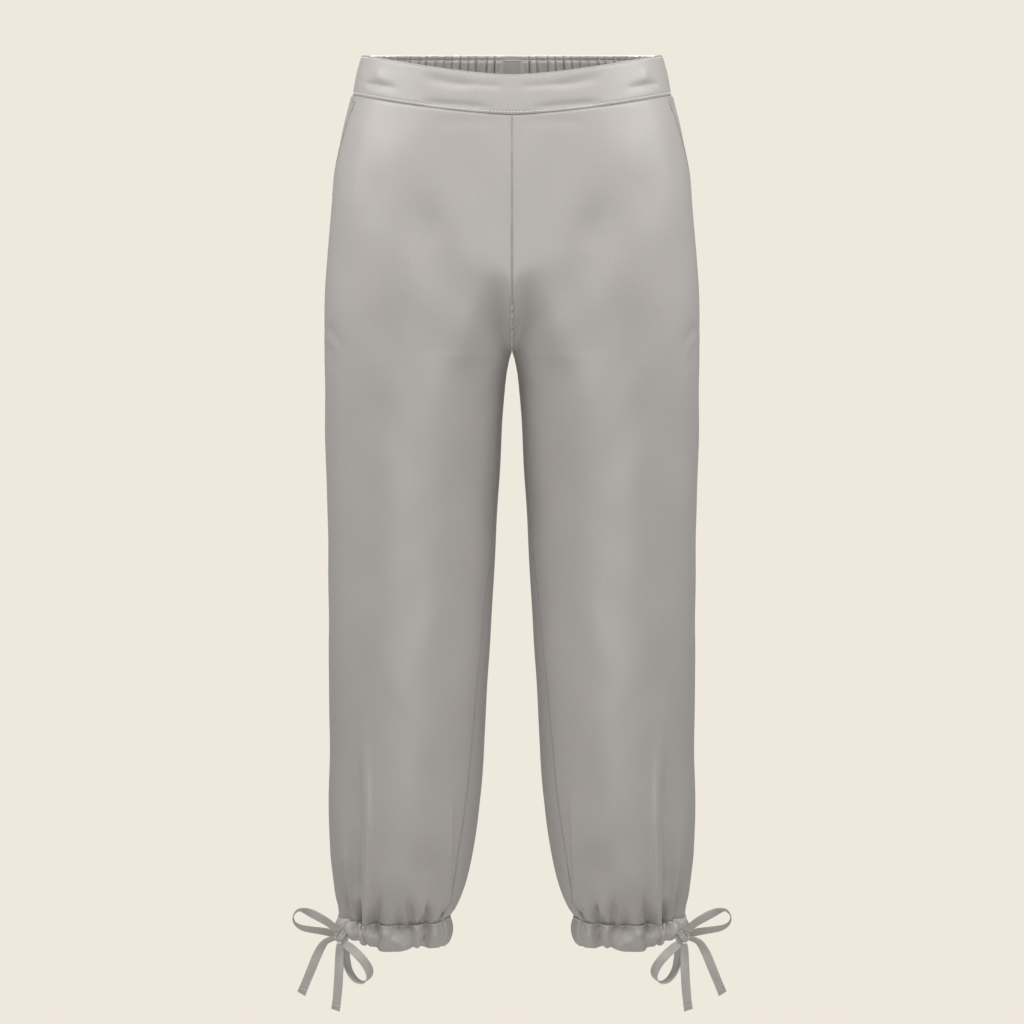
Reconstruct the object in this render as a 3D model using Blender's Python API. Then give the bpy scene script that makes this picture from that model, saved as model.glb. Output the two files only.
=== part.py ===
"""Trousers with a smooth front waistband, a gathered back waistband and ankle casings tied with bows.

Lengths are in millimetres until the meshes are made. +Z is up, the front faces -Y, and the origin is
the middle of the waist opening at the height of its sides. The left side is built and mirrored.
Angles run around one leg: 0 at the outer side, 90 in front, 180 at the inner side, -90 behind.
"""
import math

import bpy
import numpy as np

MM = 0.001
SEAM_GAP = 0.3
PANEL_WALL = 2.0
BAND_WALL = 2.2
CUFF_WALL = 2.4

TORSO_POWER = 2.5
LEG_POWER = 2.15
CROTCH_POWER = 4.2
CROTCH_POWER_END_Z = -470.0
CROTCH_Z = -305.0
FRONT_FORK_Z = -215.0
BACK_FORK_Z = -180.0
SETTLE_Z = -195.0
SPREAD_Z = -100.0
HEM_Z = -913.0
HEM_BOTTOM_Z = -941.0

# The fork: the angles over which the centre seam's own turn takes over from the even one, and how
# sharply the cloth turns under at the centre seam and away from it.
FORK_ANGLE = 105.0
FORK_ANGLE_SPAN = 60.0
FORK_TURN_ANGLE = 130.0
FORK_TURN_SPAN = 45.0
FORK_TURN_CENTRE = 0.5
FORK_TURN_AWAY = 2.5

# Sizes of the body of the garment by height: half width, and depth in front and behind.
TORSO = [
    dict(z=8, half=154.5, front=95.0, back=102.0),
    dict(z=-20, half=161.7, front=99.0, back=107.0),
    dict(z=-41, half=166.2, front=103.0, back=112.0),
    dict(z=-60, half=171.2, front=107.0, back=118.0),
    dict(z=-81, half=177.0, front=110.0, back=124.0),
    dict(z=-102, half=181.8, front=112.5, back=129.0),
    dict(z=-124, half=185.5, front=114.5, back=133.0),
    dict(z=-166, half=190.3, front=117.0, back=139.0),
    dict(z=-208, half=194.3, front=118.5, back=142.0),
    dict(z=-250, half=196.6, front=118.0, back=141.0),
    dict(z=-305, half=197.7, front=114.0, back=137.0),
]

# Sizes of one leg by height: outer and inner edge, and depth in front and behind.
LEG = [
    dict(z=-110, outer=197.7, inner=0.2, front=105.0, back=122.0),
    dict(z=-215, outer=197.7, inner=0.2, front=108.0, back=131.0),
    dict(z=-305, outer=197.7, inner=0.2, front=103.0, back=124.5),
    dict(z=-314, outer=197.7, inner=2.65, front=102.2, back=123.0),
    dict(z=-336, outer=197.6, inner=5.8, front=100.0, back=119.0),
    dict(z=-378, outer=197.2, inner=9.0, front=95.5, back=111.5),
    dict(z=-463, outer=195.7, inner=14.3, front=88.5, back=99.0),
    dict(z=-548, outer=194.0, inner=19.6, front=83.0, back=90.0),
    dict(z=-632, outer=194.4, inner=23.9, front=79.5, back=84.0),
    dict(z=-717, outer=194.7, inner=29.2, front=76.5, back=80.0),
    dict(z=-802, outer=195.0, inner=36.0, front=73.5, back=76.0),
    dict(z=-844, outer=193.5, inner=41.9, front=70.0, back=72.0),
    dict(z=-866, outer=191.3, inner=46.1, front=66.5, back=68.0),
    dict(z=-887, outer=188.7, inner=52.5, front=60.5, back=62.0),
    dict(z=-903, outer=185.8, inner=59.5, front=52.0, back=53.0),
    dict(z=-913, outer=185.2, inner=65.5, front=46.0, back=47.0),
    dict(z=-941, outer=185.2, inner=66.5, front=45.0, back=46.0),
]

# The seams of one leg by height, in degrees: how far each lies in front of the side it follows.
SEAMS = [
    dict(z=-41, side=22.0, inside=0.0),
    dict(z=-86, side=14.0, inside=0.0),
    dict(z=-120, side=6.5, inside=0.0),
    dict(z=-152, side=0.0, inside=0.0),
    dict(z=-336, side=0.0, inside=0.0),
    dict(z=-420, side=0.0, inside=9.0),
    dict(z=-558, side=0.0, inside=23.5),
    dict(z=-635, side=0.0, inside=29.5),
    dict(z=-712, side=0.0, inside=33.0),
    dict(z=-784, side=0.0, inside=36.5),
    dict(z=-841, side=0.0, inside=39.5),
    dict(z=-892, side=0.0, inside=39.0),
    dict(z=-941, side=0.0, inside=33.5),
]

# Waist seam below the band and top edge of the band: height at the side, and rise to the centre.
WAIST_CURVE = 1.5
WAIST_SEAM = dict(side=-41.3, front=-22.2, back=3.3)
WAIST_TOP = dict(side=0.0, front=-23.1, back=4.6)

# Folds that run up the leg from the ankle: angle at the ankle, lean towards the upper end, upper end,
# height (a negative one is a trough) and half width in degrees.
LEG_FOLDS = [
    dict(angle=57.0, lean=1.0, top=-690, height=3.6, width=5.5),
    dict(angle=48.5, lean=3.0, top=-800, height=-5.0, width=5.0),
    dict(angle=36.0, lean=3.0, top=-780, height=3.2, width=5.0),
    dict(angle=25.0, lean=2.0, top=-850, height=-3.4, width=5.0),
    dict(angle=69.0, lean=-2.0, top=-872, height=-2.2, width=5.0),
    dict(angle=84.0, lean=0.0, top=-862, height=2.0, width=7.0),
    dict(angle=100.0, lean=2.0, top=-880, height=-2.4, width=5.0),
    dict(angle=110.0, lean=-3.0, top=-850, height=2.4, width=5.5),
    dict(angle=120.0, lean=-2.0, top=-858, height=-5.0, width=5.0),
    dict(angle=130.0, lean=2.0, top=-868, height=2.4, width=5.0),
    dict(angle=148.0, lean=-4.0, top=-770, height=2.0, width=5.0),
    dict(angle=12.0, lean=2.0, top=-838, height=2.6, width=5.5),
    dict(angle=-2.0, lean=-2.0, top=-866, height=-3.2, width=5.0),
    dict(angle=-15.0, lean=-3.0, top=-820, height=2.8, width=5.5),
    dict(angle=-30.0, lean=-2.0, top=-858, height=-4.0, width=5.5),
    dict(angle=-46.0, lean=-4.0, top=-760, height=3.2, width=6.0),
    dict(angle=-64.0, lean=1.0, top=-866, height=-3.2, width=6.0),
    dict(angle=-82.0, lean=3.0, top=-835, height=2.4, width=7.0),
    dict(angle=-101.0, lean=-2.0, top=-850, height=-4.2, width=6.0),
    dict(angle=-118.0, lean=4.0, top=-785, height=2.8, width=6.0),
    dict(angle=-137.0, lean=0.0, top=-872, height=-3.0, width=6.0),
    dict(angle=-155.0, lean=-3.0, top=-850, height=2.2, width=7.0),
    dict(angle=-172.0, lean=0.0, top=-880, height=-2.2, width=6.0),
]

# Pleats drawn into the ankle casing: angle, depth at its lower edge and half width in degrees.
CUFF_PLEATS = [
    dict(angle=118.0, height=-3.6, width=6.0),
    dict(angle=84.0, height=1.6, width=10.0),
    dict(angle=67.0, height=-2.8, width=6.0),
    dict(angle=50.0, height=-3.8, width=6.0),
    dict(angle=31.0, height=-2.6, width=8.0),
    dict(angle=10.0, height=1.0, width=6.0),
    dict(angle=-7.0, height=-2.8, width=6.0),
    dict(angle=-31.0, height=-3.2, width=6.5),
    dict(angle=-48.0, height=1.8, width=8.0),
    dict(angle=-66.0, height=-3.0, width=6.5),
    dict(angle=-101.0, height=-3.4, width=6.5),
    dict(angle=-119.0, height=1.8, width=8.0),
    dict(angle=-138.0, height=-2.8, width=6.5),
    dict(angle=-172.0, height=-2.4, width=6.5),
    dict(angle=150.0, height=1.2, width=9.0),
]
CUFF_BULGE = 2.2
CUFF_EDGE_DROP = 0.4

# Gathers of the back: how many across the band, their height, and the folds they leave below it.
BAND_GATHERS = 46
BAND_GATHER_HEIGHT = 1.3
BAND_PLAIN_SHARE = 0.035
BAND_PLAIN_FADE = 0.03
BAND_SIDE_FADE = 30.0
BAND_UNEVEN = 0.3
BAND_UNEVEN_RATES = (9.0, 23.0)
BAND_BACK_BULGE = 1.0
BAND_PROUD = 0.3
SEAT_GATHERS = 7
SEAT_GATHER_HEIGHT = 1.3
SEAT_GATHER_END_Z = -128.0
SEAT_GATHER_CENTRE_REACH = 0.8
SEAT_GATHER_SIDE_REACH = 0.3
SEAT_GATHER_DRIFT = 0.9
SEAT_GATHER_DRIFT_RATE = 5.0
SEAT_GATHER_ENDS = 12.0

# Rows of the panels: shares of the way to the fork, angles around the fork, and heights of the leg;
# then the rows of the bands and casings, as shares of their heights.
UPPER_ROWS = (0.0, 0.12, 0.38, 0.7)
FORK_ANGLES = (0.0, 24.0, 44.0, 61.0, 76.0, 90.0)
LEG_ROWS = (-314, -338, -385, -460, -548, -634, -710, -770, -818, -853, -878, -896, -906)
BAND_FRONT_ROWS = (0.0, 0.33, 0.67, 1.0)
BAND_BACK_ROWS = (0.0, 0.5, 1.0)
CUFF_ROWS = (0.0, 0.25, 0.6, 0.88, 1.0)
PANEL_COLUMNS = 23
BAND_FRONT_COLUMNS = 30
CUFF_COLUMNS = 60
EDGE_SAMPLES = 400

# Steps over which a surface's slope is taken: in degrees, and in its own rows.
ANGLE_STEP = 0.5
TORSO_ROW_STEP = 0.004
BAND_ROW_STEP = 0.02
LEG_ROW_STEP = -1.0
LEG_MIDDLE_X = 100.0
HOLLOW_SHARE = 0.9
CROTCH_DIRECTION = (-0.7, 0.0, -0.7)

# Bow of the flat drawstring on the left ankle.
TAPE_WIDTH = 9.5
TAPE_THICKNESS = 1.3
TAPE_STEP = 4.5
TAPE_PINCH = 0.62
TAPE_PINCH_LENGTH = 11.0
TAPE_CUP = 0.25
KNOT_CENTRE = (181.4, -31.6, -928.6)
KNOT_RADII = (8.0, 5.0, 6.3)
KNOT_TILT = 42.0
KNOT_RINGS = 9
KNOT_SIDES = 14
KNOT_PINCH = 0.10
KNOT_SWELL = 0.05
KNOT_BLUNTNESS = 0.75
ROUTE_SAMPLES = 16
SHARP_EDGE = 40.0

# Route of each tape: position, and turn of its width out of the plane of the picture in degrees.
LOOP_UPPER = [
    dict(x=185.0, y=-35.0, z=-921.4, turn=20),
    dict(x=193.9, y=-37.8, z=-912.8, turn=12),
    dict(x=202.6, y=-38.3, z=-907.2, turn=12),
    dict(x=211.6, y=-37.3, z=-902.6, turn=25),
    dict(x=220.0, y=-35.8, z=-899.8, turn=48),
    dict(x=226.7, y=-34.3, z=-900.4, turn=66),
    dict(x=231.0, y=-32.8, z=-906.2, turn=80),
    dict(x=230.2, y=-31.3, z=-913.2, turn=102),
    dict(x=224.6, y=-30.3, z=-918.6, turn=130),
    dict(x=216.0, y=-29.9, z=-921.2, turn=154),
    dict(x=205.0, y=-29.9, z=-922.8, turn=162),
    dict(x=196.3, y=-30.3, z=-924.2, turn=160),
    dict(x=189.2, y=-31.2, z=-926.0, turn=155),
]
LOOP_LOWER = [
    dict(x=177.4, y=-35.1, z=-935.1, turn=15),
    dict(x=166.6, y=-39.8, z=-942.8, turn=8),
    dict(x=157.4, y=-40.8, z=-952.4, turn=8),
    dict(x=151.8, y=-39.8, z=-961.8, turn=28),
    dict(x=150.8, y=-37.8, z=-969.4, turn=55),
    dict(x=153.8, y=-35.8, z=-975.2, turn=72),
    dict(x=159.6, y=-33.9, z=-977.9, turn=82),
    dict(x=166.9, y=-31.9, z=-974.6, turn=108),
    dict(x=172.8, y=-29.9, z=-966.2, turn=136),
    dict(x=175.6, y=-28.5, z=-956.2, turn=158),
    dict(x=177.2, y=-28.1, z=-947.0, turn=168),
    dict(x=178.2, y=-29.8, z=-935.6, turn=165),
]
TAIL_OUTER = [
    dict(x=188.2, y=-31.2, z=-930.2, turn=40),
    dict(x=198.2, y=-33.9, z=-934.4, turn=26),
    dict(x=205.4, y=-34.3, z=-945.8, turn=12),
    dict(x=211.2, y=-33.7, z=-959.6, turn=6),
    dict(x=216.9, y=-32.7, z=-973.6, turn=4),
    dict(x=224.0, y=-31.5, z=-991.2, turn=0),
]
TAIL_INNER = [
    dict(x=182.2, y=-32.7, z=-936.0, turn=16),
    dict(x=182.8, y=-34.7, z=-948.6, turn=8),
    dict(x=183.2, y=-35.1, z=-960.0, turn=6),
    dict(x=184.3, y=-34.5, z=-978.2, turn=4),
    dict(x=186.1, y=-33.5, z=-998.8, turn=4),
    dict(x=187.7, y=-32.7, z=-1008.6, turn=0),
]

SATIN = dict(color=(0.47, 0.445, 0.42, 1.0), roughness=0.42)
SATIN_BAND = dict(color=(0.50, 0.475, 0.45, 1.0), roughness=0.40)
TAPE = dict(color=(0.43, 0.41, 0.385, 1.0), roughness=0.45)


def smooth(table, name, at):
    """Read one column of a table at heights between its rows, without overshoot."""
    rows = sorted(table, key=lambda row: row["z"])
    keys = np.array([row["z"] for row in rows], float)
    values = np.array([row[name] for row in rows], float)
    steps = np.diff(keys)
    slopes = np.diff(values) / steps
    tangents = np.concatenate((slopes[:1], np.zeros(len(values) - 2), slopes[-1:]))
    same_way = slopes[:-1] * slopes[1:] > 0
    below = slopes[:-1][same_way]
    above = slopes[1:][same_way]
    tangents[1:-1][same_way] = 2.0 * below * above / (below + above)
    at = np.clip(np.asarray(at, float), keys[0], keys[-1])
    index = np.clip(np.searchsorted(keys, at) - 1, 0, len(keys) - 2)
    width = steps[index]
    part = (at - keys[index]) / width
    rise = values[index + 1] - values[index]
    start = tangents[index] * width
    end = tangents[index + 1] * width
    cubic = start + end - 2.0 * rise
    square = 3.0 * rise - 2.0 * start - end
    return values[index] + part * (start + part * (square + part * cubic))


def ease(part):
    part = np.clip(part, 0.0, 1.0)
    return part * part * (3.0 - 2.0 * part)


def power_of(value, power):
    return np.sign(value) * np.abs(value) ** power


def rounded(part, power):
    """Depth of a rounded section at a share of its half width."""
    return np.clip(1.0 - np.abs(part) ** power, 0.0, 1.0) ** (1.0 / power)


def centre_share(angle):
    """How far a point lies from the centre seam to the side: 0 to 1, the same at every height."""
    angle = np.abs(np.asarray(angle, float))
    angle = np.where(angle > 180.0, 360.0 - angle, angle)
    outer_half = 0.5 + 0.5 * power_of(np.cos(np.radians(angle)), 2.0 / LEG_POWER)
    inner_half = 0.5 * (180.0 - angle) / 90.0
    return np.where(angle <= 90.0, outer_half, inner_half)


def waist_line(line, angle):
    """Height of a waist edge at an angle: it dips in front and follows the depth of the back."""
    share = centre_share(angle)
    front = line["front"] * (1.0 - share ** WAIST_CURVE)
    back = line["back"] * rounded(share, TORSO_POWER)
    return line["side"] + np.where(np.asarray(angle) > 0.0, front, back)


def body_point(angle, z, fork_front, fork_back):
    """A point of the cloth: the round body of the garment, turned into one leg over the fork."""
    angle = np.asarray(angle, float)
    z = np.broadcast_to(np.asarray(z, float), angle.shape)
    turn = np.radians(angle)
    in_front = np.sin(turn) >= 0.0
    above = z > CROTCH_Z
    half = np.where(above, smooth(TORSO, "half", z), smooth(LEG, "outer", z))
    inner = smooth(LEG, "inner", z)
    centre = (half + inner) / 2.0
    radius = (half - inner) / 2.0
    leg_depth = np.where(in_front, smooth(LEG, "front", z), smooth(LEG, "back", z))
    leg_x = centre + radius * power_of(np.cos(turn), 2.0 / LEG_POWER)
    squarer = 1.0 - ease((CROTCH_Z - z) / (CROTCH_Z - CROTCH_POWER_END_Z))
    power = LEG_POWER + (CROTCH_POWER - LEG_POWER) * squarer * (np.abs(angle) > 90.0)
    leg_y = leg_depth * np.abs(np.sin(turn)) ** (2.0 / power)
    towards = np.where(in_front, -1.0, 1.0)
    share = centre_share(angle)
    spread = ease((SPREAD_Z - z) / (SPREAD_Z - FRONT_FORK_Z))
    even_x = half * share
    x = np.where(above & (np.abs(angle) > 90.0), even_x + (leg_x - even_x) * spread, leg_x)
    torso_depth = np.where(in_front, smooth(TORSO, "front", z), smooth(TORSO, "back", z))
    torso_y = torso_depth * rounded(x / half, TORSO_POWER)
    round_y = leg_depth * rounded((x - centre) / radius, LEG_POWER) ** (LEG_POWER / power)
    merged_y = np.where(above, round_y, leg_y)
    settle = ease((SETTLE_Z - z) / (SETTLE_Z - CROTCH_Z))
    near_centre = ease((np.abs(angle) - FORK_ANGLE) / FORK_ANGLE_SPAN)
    at_seam = ease((np.abs(angle) - FORK_TURN_ANGLE) / FORK_TURN_SPAN)
    sharpness = FORK_TURN_AWAY + (FORK_TURN_CENTRE - FORK_TURN_AWAY) * at_seam
    fork = np.where(in_front, fork_front, fork_back)
    merge = 1.0 - (1.0 - fork * fork) ** sharpness
    merge = settle + (merge - settle) * near_centre
    y = towards * (torso_y + (merged_y - torso_y) * merge)
    return np.stack((x, y, z), axis=-1)


def fork_share(row, rise, fork_z):
    """How far the centre seam has come from the start of the fork to the crotch at a row: 0 to 1."""
    centre = WAIST_SEAM["side"] + rise
    z = centre + (CROTCH_Z - centre) * row
    return np.clip((fork_z - z) / (fork_z - CROTCH_Z), 0.0, 1.0)


def torso_surface(row, angle):
    """A point between the waist seam (row 0) and the crotch (row 1)."""
    top = waist_line(WAIST_SEAM, angle)
    z = top + (CROTCH_Z - top) * row
    fork_front = fork_share(row, WAIST_SEAM["front"], FRONT_FORK_Z)
    fork_back = fork_share(row, WAIST_SEAM["back"], BACK_FORK_Z)
    return body_point(angle, z, fork_front, fork_back)


def leg_surface(z, angle):
    return body_point(angle, z, 1.0, 1.0)


def band_surface(part, angle):
    """A point of the waistband: part 0 at the waist seam, 1 at the top edge."""
    low = waist_line(WAIST_SEAM, angle)
    high = waist_line(WAIST_TOP, angle)
    return body_point(angle, low + (high - low) * part, 0.0, 0.0)


def outward(surface, row, angle, row_step):
    """Unit direction square to a surface, from the run of its points around the place."""
    limit = 360.0 if surface is leg_surface else 180.0
    ahead = np.minimum(angle + ANGLE_STEP, limit)
    behind = np.maximum(angle - ANGLE_STEP, -limit)
    across = surface(row, ahead) - surface(row, behind)
    along = surface(row + row_step, angle) - surface(row - row_step, angle)
    normal = np.cross(across, along)
    return normal / np.linalg.norm(normal, axis=-1, keepdims=True)


def bump(angle, middle, width):
    """A soft rise of height 1 around an angle."""
    away = (angle - middle + 180.0) % 360.0 - 180.0
    return np.exp(-0.5 * (away / width) ** 2)


def leg_fold_height(angle, z):
    """Sum of the folds of the lower leg, which fade out towards their upper ends."""
    total = np.zeros(np.shape(angle))
    for fold in LEG_FOLDS:
        rise = np.clip((z - HEM_Z) / (fold["top"] - HEM_Z), 0.0, 1.0)
        middle = fold["angle"] + fold["lean"] * rise
        total += fold["height"] * (1.0 - ease(rise)) * bump(angle, middle, fold["width"])
    return total


def cuff_pleat_height(angle):
    """Sum of the pleats at the lower edge of the casing."""
    total = np.zeros(np.shape(angle))
    for pleat in CUFF_PLEATS:
        total += pleat["height"] * bump(angle, pleat["angle"], pleat["width"])
    return total


def seat_gathers(angle, z, share):
    """Folds that the elastic leaves in the seat just below the back waistband."""
    drift = SEAT_GATHER_DRIFT * np.sin(SEAT_GATHER_DRIFT_RATE * share)
    wave = np.cos(2.0 * math.pi * SEAT_GATHERS * share + drift)
    top = waist_line(WAIST_SEAM, angle)
    lowest = SEAT_GATHER_END_Z * (SEAT_GATHER_CENTRE_REACH + SEAT_GATHER_SIDE_REACH * share)
    fade = 1.0 - ease((top - z) / (top - lowest))
    ends = ease(np.minimum(share, 1.0 - share) * SEAT_GATHER_ENDS)
    return SEAT_GATHER_HEIGHT * wave * fade * ends


def make_material(name, look):
    material = bpy.data.materials.new(name)
    material.use_nodes = True
    shader = material.node_tree.nodes["Principled BSDF"]
    shader.inputs["Base Color"].default_value = look["color"]
    shader.inputs["Roughness"].default_value = look["roughness"]
    shader.inputs["Metallic"].default_value = 0.0
    material.diffuse_color = look["color"]
    return material


def signed_volume(points, faces):
    total = 0.0
    for face in faces:
        first = points[face[0]]
        for second, third in zip(face[1:-1], face[2:]):
            total += np.dot(first, np.cross(points[second], points[third]))
    return total / 6.0


def make_solid(name, points, faces, look, mirrored):
    points = np.array(points, float)
    if mirrored:
        points[:, 0] *= -1.0
    if signed_volume(points, faces) < 0.0:
        faces = [tuple(reversed(face)) for face in faces]
    mesh = bpy.data.meshes.new(name)
    mesh.from_pydata([tuple(point) for point in points * MM], [], faces)
    mesh.validate()
    mesh.update()
    for polygon in mesh.polygons:
        polygon.use_smooth = True
    mesh.set_sharp_from_angle(angle=math.radians(SHARP_EDGE))
    mesh.materials.append(make_material(name + "_material", look))
    made = bpy.data.objects.new(name, mesh)
    bpy.context.scene.collection.objects.link(made)
    return made


def make_wall(name, outer, inner, look, mirrored=False, closed=False):
    """A cloth wall from two grids of points, rows by columns."""
    rows, columns = outer.shape[:2]
    points = np.concatenate((outer.reshape(-1, 3), inner.reshape(-1, 3)))
    shift = rows * columns
    last = columns if closed else columns - 1
    faces = []
    for row in range(rows - 1):
        for column in range(last):
            beside = (column + 1) % columns
            corner = row * columns + column
            right = row * columns + beside
            above = corner + columns
            across = right + columns
            faces.append((corner, right, across, above))
            faces.append((corner + shift, above + shift, across + shift, right + shift))
    for column in range(last):
        beside = (column + 1) % columns
        top = (rows - 1) * columns
        faces.append((column, column + shift, beside + shift, beside))
        faces.append((top + column, top + beside, top + beside + shift, top + column + shift))
    if not closed:
        for row in range(rows - 1):
            start = row * columns
            end = start + columns - 1
            faces.append((start, start + columns, start + columns + shift, start + shift))
            faces.append((end, end + shift, end + columns + shift, end + columns))
    return make_solid(name, points, faces, look, mirrored)


def panel_rows():
    """Rows of a leg panel: shares of the way to the crotch, then heights down the leg."""
    front_centre = WAIST_SEAM["side"] + WAIST_SEAM["front"]
    fork_start = (FRONT_FORK_Z - front_centre) / (CROTCH_Z - front_centre)
    shares = [fork_start * part for part in UPPER_ROWS]
    for fork_angle in FORK_ANGLES:
        z = FRONT_FORK_Z + (CROTCH_Z - FRONT_FORK_Z) * math.sin(math.radians(fork_angle))
        shares.append((z - front_centre) / (CROTCH_Z - front_centre))
    return shares, list(LEG_ROWS) + [HEM_Z + SEAM_GAP / 2.0]


def panel_grids(front):
    """Outer and inner points of a left leg panel, from the waist seam down to the ankle seam."""
    way = 1.0 if front else -1.0
    part = np.linspace(0.0, 1.0, PANEL_COLUMNS + 1)
    shares, heights = panel_rows()
    outer_rows = []
    inner_rows = []
    for index, row in enumerate(shares + heights):
        on_torso = index < len(shares)
        surface = torso_surface if on_torso else leg_surface
        row_step = TORSO_ROW_STEP if on_torso else LEG_ROW_STEP
        side_z = surface(row, np.array([0.0]))[0, 2]
        side = float(smooth(SEAMS, "side", side_z))
        inside = float(smooth(SEAMS, "inside", side_z))
        at_centre = 180.0 - inside if front else -180.0 - inside
        angle = at_centre + (side - at_centre) * part
        step = surface(row, angle + ANGLE_STEP) - surface(row, angle - ANGLE_STEP)
        reach = np.linalg.norm(step, axis=-1) / (2.0 * ANGLE_STEP)
        angle[-1] += way * SEAM_GAP / 2.0 / reach[-1]
        if not on_torso or index == len(shares) - 1:
            angle[0] -= way * SEAM_GAP / 2.0 / reach[0]
        point = surface(row, angle)
        if index == 0:
            point[:, 2] -= SEAM_GAP / 2.0
        normal = outward(surface, row, angle, row_step)
        if on_torso:
            normal[0] = centre_normal(surface, row, angle[0], row_step, index == len(shares) - 1)
        if row == heights[-1]:
            normal[:, 2] = 0.0
            normal /= np.linalg.norm(normal, axis=-1, keepdims=True)
        normal *= np.sign(np.sum(normal * (point - leg_axis(point)), axis=-1, keepdims=True))
        height = leg_fold_height(angle, point[:, 2])
        if not front:
            height = height + seat_gathers(angle, point[:, 2], part)
        outer = point + normal * height[:, None]
        inner = outer - normal * PANEL_WALL
        if on_torso:
            outer[0, 0] = SEAM_GAP / 2.0
        if on_torso and index < len(shares) - 1:
            inner[0, 0] = SEAM_GAP / 2.0
        outer[:, 0] = np.maximum(outer[:, 0], SEAM_GAP / 2.0)
        inner[:, 0] = np.maximum(inner[:, 0], SEAM_GAP / 2.0)
        outer_rows.append(outer)
        inner_rows.append(inner)
    return np.array(outer_rows), np.array(inner_rows)


def leg_axis(point):
    """The middle of the leg, or of the hollow above it, level with each point."""
    x = np.full(len(point), LEG_MIDDLE_X)
    inwards = np.minimum(LEG_MIDDLE_X, point[:, 0] * HOLLOW_SHARE)
    x = np.where(point[:, 2] > FRONT_FORK_Z, inwards, x)
    return np.stack((x, np.zeros(len(point)), point[:, 2]), axis=-1)


def centre_normal(surface, row, angle, row_step, at_crotch):
    """Direction out of the cloth at the centre seam, which lies in the middle plane."""
    if at_crotch:
        return np.array(CROTCH_DIRECTION)
    angle = np.array([angle])
    along = surface(row + row_step, angle)[0] - surface(row - row_step, angle)[0]
    normal = np.cross(np.array([1.0, 0.0, 0.0]), along)
    normal /= np.linalg.norm(normal)
    return -normal if normal[2] > 0.0 else normal


def even_angles(surface, row, first, last, count):
    """Angles that lie evenly along an edge."""
    angle = np.linspace(first, last, EDGE_SAMPLES)
    point = surface(row, angle)
    length = np.concatenate(([0.0], np.cumsum(np.linalg.norm(np.diff(point, axis=0), axis=1))))
    return np.interp(np.linspace(0.0, length[-1], count), length, angle)


def band_point(part, angle):
    """Points of a row of the waistband, clear of the seam below, and directions out of it."""
    point = band_surface(part, angle)
    if part == 0.0:
        point[:, 2] += SEAM_GAP / 2.0
    normal = outward(band_surface, part, angle, BAND_ROW_STEP)
    normal *= np.sign(np.sum(normal * point * (1, 1, 0), axis=-1, keepdims=True))
    normal[0] *= (0, 1, 1)
    return point, normal


def make_front_band():
    angle = even_angles(band_surface, 0.5, 180.0, 0.0, BAND_FRONT_COLUMNS // 2 + 1)
    outer_rows = []
    inner_rows = []
    for part in BAND_FRONT_ROWS:
        point, normal = band_point(part, angle)
        outer_rows.append(point + BAND_PROUD * normal)
        inner_rows.append(point - (BAND_WALL - BAND_PROUD) * normal)
    outer = np.array(outer_rows)
    inner = np.array(inner_rows)
    outer[:, -1, 1] -= SEAM_GAP / 2.0
    inner[:, -1, 1] -= SEAM_GAP / 2.0
    make_wall("waistband_front", both_sides(outer), both_sides(inner), SATIN_BAND)


def make_back_band():
    half_columns = BAND_GATHERS * 2
    angle = even_angles(band_surface, 0.5, -180.0, 0.0, half_columns + 1)
    share = np.linspace(0.0, 1.0, half_columns + 1)
    phase = math.pi * BAND_GATHERS * share
    plain = ease((share - BAND_PLAIN_SHARE) / BAND_PLAIN_FADE)
    slow, fast = BAND_UNEVEN_RATES
    uneven = 1.0 + BAND_UNEVEN * np.sin(slow * share + 1.0) * np.sin(fast * share)
    ends = ease((1.0 - share) * BAND_SIDE_FADE)
    wave = BAND_GATHER_HEIGHT * np.cos(phase) * plain * uneven * ends
    outer_rows = []
    inner_rows = []
    for part in BAND_BACK_ROWS:
        point, normal = band_point(part, angle)
        height = wave + BAND_BACK_BULGE * 4.0 * part * (1.0 - part)
        outer_rows.append(point + height[:, None] * normal)
        inner_rows.append(point + (height - BAND_WALL)[:, None] * normal)
    outer = np.array(outer_rows)
    inner = np.array(inner_rows)
    outer[:, -1, 1] += SEAM_GAP / 2.0
    inner[:, -1, 1] += SEAM_GAP / 2.0
    make_wall("waistband_back", both_sides(outer), both_sides(inner), SATIN_BAND)


def both_sides(grid):
    """Join a grid that starts in the middle plane to its mirror image."""
    grid = grid.copy()
    grid[:, 0, 0] = 0.0
    mirror = grid[:, :0:-1] * (-1.0, 1.0, 1.0)
    return np.concatenate((mirror, grid), axis=1)


def cuff_point_grids():
    """Outer and inner points of the left casing, from its seam down to its lower edge."""
    angle = np.arange(CUFF_COLUMNS) * 360.0 / CUFF_COLUMNS - 180.0
    at_seam = leg_fold_height(angle, HEM_Z)
    at_edge = cuff_pleat_height(angle)
    outer_rows = []
    inner_rows = []
    for part in CUFF_ROWS:
        z = HEM_Z + (HEM_BOTTOM_Z - HEM_Z) * part
        if part == 0.0:
            z -= SEAM_GAP / 2.0
        point = leg_surface(z, angle)
        axis = leg_surface(z, np.array([0.0, 180.0])).mean(axis=0)
        normal = outward(leg_surface, z, angle, LEG_ROW_STEP) * (1, 1, 0)
        normal /= np.linalg.norm(normal, axis=-1, keepdims=True)
        normal *= np.sign(np.sum(normal * (point - axis), axis=-1, keepdims=True))
        height = at_seam + (at_edge - at_seam) * part + CUFF_BULGE * 4.0 * part * (1.0 - part)
        point[:, 2] -= CUFF_EDGE_DROP * part * at_edge
        outer_rows.append(point + normal * height[:, None])
        inner_rows.append(point + normal * (height - CUFF_WALL)[:, None])
    return np.array(outer_rows), np.array(inner_rows)


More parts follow.
